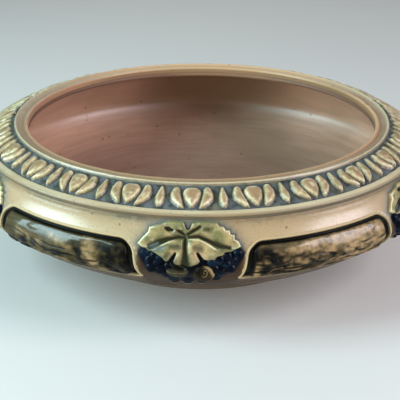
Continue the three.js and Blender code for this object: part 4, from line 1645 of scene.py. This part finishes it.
class BOWL_OT_grapes(bpy.types.Operator):
    """Model the grape clusters, berry by berry"""

    bl_idname = "bowl.grapes"
    bl_label = "Grapes"

    def execute(self, context):
        flank = Flank()
        material = grape_material()
        bed = slab_of(ornament().bed_columns, ornament().bed_rows, curved_back=True)
        for number in range(MEDALLIONS):
            for side, berries in GRAPES.items():
                name = f"{side}_{number + 1}"
                node = f"grapes_{name}"
                bm = bmesh.new()
                marks = [add_berry(bm, flank, number, *berry) for berry in enumerate(berries)]
                worn, bare = np.concatenate(marks, axis=1)
                piece = new_piece(bm, f"grape_berries_{name}", [node], [material])
                bm.free()
                mark(piece, "worn", worn)
                mark(piece, "bare", bare)
                clay = new_piece(bed, f"grape_bed_and_shade_{name}", [node], [material])
                shape_bed(clay, side, flank, number)
        bed.free()
        return {"FINISHED"}


def add_berry(bm, flank, number, index, berry):
    """Adds one grape, sunk into the clay; the low ones are worn along their lower edge."""
    radius = ornament().berry_radius * (1 + BERRY_VARY * math.sin(2.4 * index))
    sunk = np.array([-BERRY_SINK * radius])
    across, down = np.array(berry) * MM
    across += flank.start(number)
    middle, above = (
        Vector(flank.laid(np.array([across]), np.array([level]), sunk)[0])
        for level in (down, down - radius)
    )
    spot = Matrix.Translation(middle)
    made = bmesh.ops.create_icosphere(bm, subdivisions=3, radius=radius, matrix=spot)
    upward = (above - middle).normalized()
    drop = np.array([(middle - vert.co).dot(upward) / radius for vert in made["verts"]])
    worn = 0.75 * ease(drop, -0.16, 0.06) * (berry[1] > LOW_BERRIES)
    return worn, 1 - 0.18 * fade(drop, -0.6, 0.0)


def shape_bed(piece, side, flank, number):
    """Shapes a cluster's dark clay, partly painted shadow: a little proud inside its strokes, sunk outside
    them.
    """
    relief = ornament()
    across, up, on_top = slab_places(piece)
    (middle_across, middle_down), (half_width, half_height) = np.array([BED_MIDDLE, BED_HALF]) * MM
    across = middle_across + half_width * (across - 1 if side == "left" else across + 1)
    down = middle_down - half_height * up
    inside = within_strokes(across, down, GRAPE_BED_AND_SHADE)
    proud = relief.bed_rise * ease(inside, -0.6 * MM, 0.6 * MM) - relief.bed_sink
    proud = np.where(on_top, proud, -relief.bed_back)
    move_points(piece, flank.laid(across + flank.start(number), down, proud))
    mark(piece, "bare", np.ones(len(down)))


def grape_material():
    """Blue-black grape glaze with teal glints, worn to tan at the lowest edges."""
    tones = glazes()
    layers = [cloud(tones.grape_thin, 260.0, 0.45, 0.75, 0.8), wash("worn", tones.leaf_tan)]
    return glaze_material(
        "Blue-black grape glaze", tones.grape, tones.grape_thin, tones.bark_pool, (0.3, 0.42), layers,
        mottle=0.5, grain=150.0, specular=0.04, coat=0.15,
    )


class BOWL_OT_rosettes(bpy.types.Operator):
    """Model the rosettes: a bud rolled in a spiral"""

    bl_idname = "bowl.rosettes"
    bl_label = "Rosettes"

    def execute(self, context):
        flank = Flank()
        material = rosette_material()
        steps = ornament().rosette_steps
        slab = slab_of(steps, steps)
        for number in range(MEDALLIONS):
            name = str(number + 1)
            node = f"rosette_{name}"
            piece = new_piece(slab, f"rolled_rosette_{name}", [node], [material])
            shape_rosette(piece, flank, number)
        slab.free()
        return {"FINISHED"}


def shape_rosette(piece, flank, number):
    """Shapes a rosette: a dome with a spiral cut round its eye, painted highlight right, painted shade
    below.
    """
    relief = ornament()
    radius = relief.rosette_radius
    middle = np.array([relief.rosette_across, relief.rosette_down])
    eye = middle + np.array(ROSETTE_EYE) * radius
    across, up, on_top = slab_places(piece)
    (across, down), reach = spread(across, up, oval(*middle, radius, 0.88 * radius), middle)
    away = np.hypot(across - eye[0], down - eye[1])
    turn = np.arctan2(down - eye[1], across - eye[0]) / (2 * math.pi)
    roll = (away / relief.rosette_roll - turn) % 1
    near = fade(away, 0.9 * MM, 1.6 * MM)
    groove = near * hump(roll - 0.5, 0.22)
    dome = relief.rosette_height * np.sqrt(np.clip(1 - reach ** 2.4, 0, 1))
    proud = dome - relief.rosette_groove * groove * (1 - reach ** 4) + relief.edge_lift
    proud = np.where(on_top, proud, -relief.seat)
    move_points(piece, flank.laid(across + flank.start(number), down, proud))
    x, y = (across - middle[0]) / radius, (down - middle[1]) / radius
    # Painted highlight on the right edge; the roll's crests lighter
    bright = 0.6 * ease(x, -0.3, 0.5) * ease(reach, 0.6, 0.85) * fade(reach, 0.88, 0.98)
    rolled = 0.5 * near * ease(np.abs(roll - 0.5), 0.25, 0.5)
    # Painted shade on the upper left, below and round the edge; the spiral groove darker
    shady = 0.95 * fade(np.hypot(x + 0.5, y + 0.62), 0.3, 0.75)
    under = 0.7 * ease(y, -0.15, 0.2)
    mark(piece, "ridge", np.maximum(bright, rolled) * (1 - groove))
    mark(piece, "hollow", np.maximum.reduce([0.9 * groove, shady, under, ease(reach, 0.9, 1.0)]))


def rosette_material():
    """Dark brown rosette glaze that thins to tan, with painted highlight and painted shade."""
    tones = glazes()
    return glaze_material(
        "Brown rosette glaze", tones.rosette, tones.leaf_tan, tones.bark_pool, (0.26, 0.38),
        mottle=0.35, grain=130.0, granules=0.5, bump=0.15, specular=0.03,
    )


# Stage

# Soft lights: place, width and height, watts, and colour
SOFTBOXES = {
    "left_softbox": ((-0.68, -0.25, 0.4), (0.42, 0.7), 11.0, (0.66, 0.97, 1.04)),
    "right_softbox": ((0.68, -0.25, 0.4), (0.42, 0.7), 7.5, (0.95, 0.91, 1.0)),
    "back_softbox": ((0.0, 0.7, 0.5), (0.5, 0.4), 1.0, (1.0, 0.98, 0.95)),
    "front_softbox": ((-0.2, -0.75, 0.13), (0.5, 0.16), 4.8, (1.0, 0.92, 0.85)),
}

# The photograph's camera: where it stands, which way it looks, roll in degrees, lens in millimetres
CAMERA_PLACE = (0.01813, -0.45526, 0.21307)
CAMERA_SIGHT = (-0.03792, 0.91732, -0.39635)
CAMERA_ROLL = 0.26
CAMERA_LENS = 87.86


class BOWL_OT_stage(bpy.types.Operator):
    """Set the pale floor, the soft lights and the camera"""

    bl_idname = "bowl.stage"
    bl_label = "Stage"

    def execute(self, context):
        add_floor()
        boxes = {name: add_softbox(name, *settings) for name, settings in SOFTBOXES.items()}
        boxes["front_softbox"].visible_glossy = False
        world = bpy.data.worlds.new("Studio air")
        world.use_nodes = True
        air = world.node_tree.nodes["Background"]
        air.inputs["Color"].default_value = (0.95, 0.97, 1.0, 1)
        air.inputs["Strength"].default_value = 0.15
        context.scene.world = world
        context.scene.view_settings.view_transform = "Standard"
        add_camera(context.scene)
        return {"FINISHED"}


def add_floor():
    """A wide pale floor with a soft, barely uneven finish."""
    bm = bmesh.new()
    bmesh.ops.create_grid(bm, x_segments=4, y_segments=4, size=6.0)
    mesh = bpy.data.meshes.new("pale_floor")
    bm.to_mesh(mesh)
    bm.free()
    material = bpy.data.materials.new("Pale floor")
    material.use_nodes = True
    tree = material.node_tree
    shader = tree.nodes["Principled BSDF"]
    place = add_node(tree, "ShaderNodeTexCoord").outputs["Object"]
    pale = glazes().floor
    duller = [0.94 * channel for channel in pale[:3]] + [1]
    uneven = add_mix(tree, add_noise(tree, place, 3.0, 3.0), pale, duller)
    feed(tree, uneven, shader.inputs["Base Color"])
    shader.inputs["Roughness"].default_value = 0.6
    mesh.materials.append(material)
    floor = bpy.data.objects.new("pale_floor", mesh)
    bpy.context.scene.collection.objects.link(floor)


def add_softbox(name, place, size, power, colour):
    """A soft area light aimed at the middle of the bowl."""
    light = bpy.data.lights.new(name, "AREA")
    light.shape = "RECTANGLE"
    light.size, light.size_y = size
    light.energy = power
    light.color = colour
    box = bpy.data.objects.new(name, light)
    aim = Vector((0, 0, LIP_HIGH.z / 2)) - Vector(place)
    box.matrix_world = Matrix.Translation(place) @ aim.to_track_quat("-Z", "Y").to_matrix().to_4x4()
    bpy.context.scene.collection.objects.link(box)
    return box


def add_camera(scene):
    """The camera where the photograph was taken from."""
    lens = bpy.data.cameras.new("photograph_camera")
    lens.sensor_width = 36
    lens.lens = CAMERA_LENS
    lens.clip_start = 0.01
    camera = bpy.data.objects.new("photograph_camera", lens)
    sight = Vector(CAMERA_SIGHT).to_track_quat("-Z", "Y").to_matrix().to_4x4()
    roll = Matrix.Rotation(math.radians(CAMERA_ROLL), 4, "Z")
    camera.matrix_world = Matrix.Translation(CAMERA_PLACE) @ sight @ roll
    scene.collection.objects.link(camera)
    scene.camera = camera


class BOWL_PT_pieces(bpy.types.Panel):
    """Lists the bowl's pieces in the sidebar"""

    bl_idname = "BOWL_PT_pieces"
    bl_label = "Centerpiece bowl"
    bl_space_type = "VIEW_3D"
    bl_region_type = "UI"
    bl_category = "Bowl"

    def draw(self, context):
        for step in STEPS:
            self.layout.operator(step.bl_idname)


STEPS = (
    BOWL_OT_body, BOWL_OT_foot, BOWL_OT_lip, BOWL_OT_bead, BOWL_OT_border, BOWL_OT_panels, BOWL_OT_leaves,
    BOWL_OT_grapes, BOWL_OT_rosettes, BOWL_OT_stage,
)
GROUPS = {"bowl_vessel": BowlVessel, "bowl_ornament": BowlOrnament, "bowl_glazes": BowlGlazes}


def register():
    """Adds the property groups, the operators and the panel to Blender."""
    for group in (*GROUPS.values(), *STEPS, BOWL_PT_pieces):
        bpy.utils.register_class(group)
    for name, group in GROUPS.items():
        setattr(bpy.types.Scene, name, PointerProperty(type=group))


def unregister():
    """Takes them out again."""
    for name in GROUPS:
        delattr(bpy.types.Scene, name)
    for group in reversed((*GROUPS.values(), *STEPS, BOWL_PT_pieces)):
        bpy.utils.unregister_class(group)


def main():
    """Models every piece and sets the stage."""
    register()
    bpy.ops.bowl.body()
    bpy.ops.bowl.foot()
    bpy.ops.bowl.lip()
    bpy.ops.bowl.bead()
    bpy.ops.bowl.border()
    bpy.ops.bowl.panels()
    bpy.ops.bowl.leaves()
    bpy.ops.bowl.grapes()
    bpy.ops.bowl.rosettes()
    bpy.ops.bowl.stage()


if __name__ == "__main__":
    main()
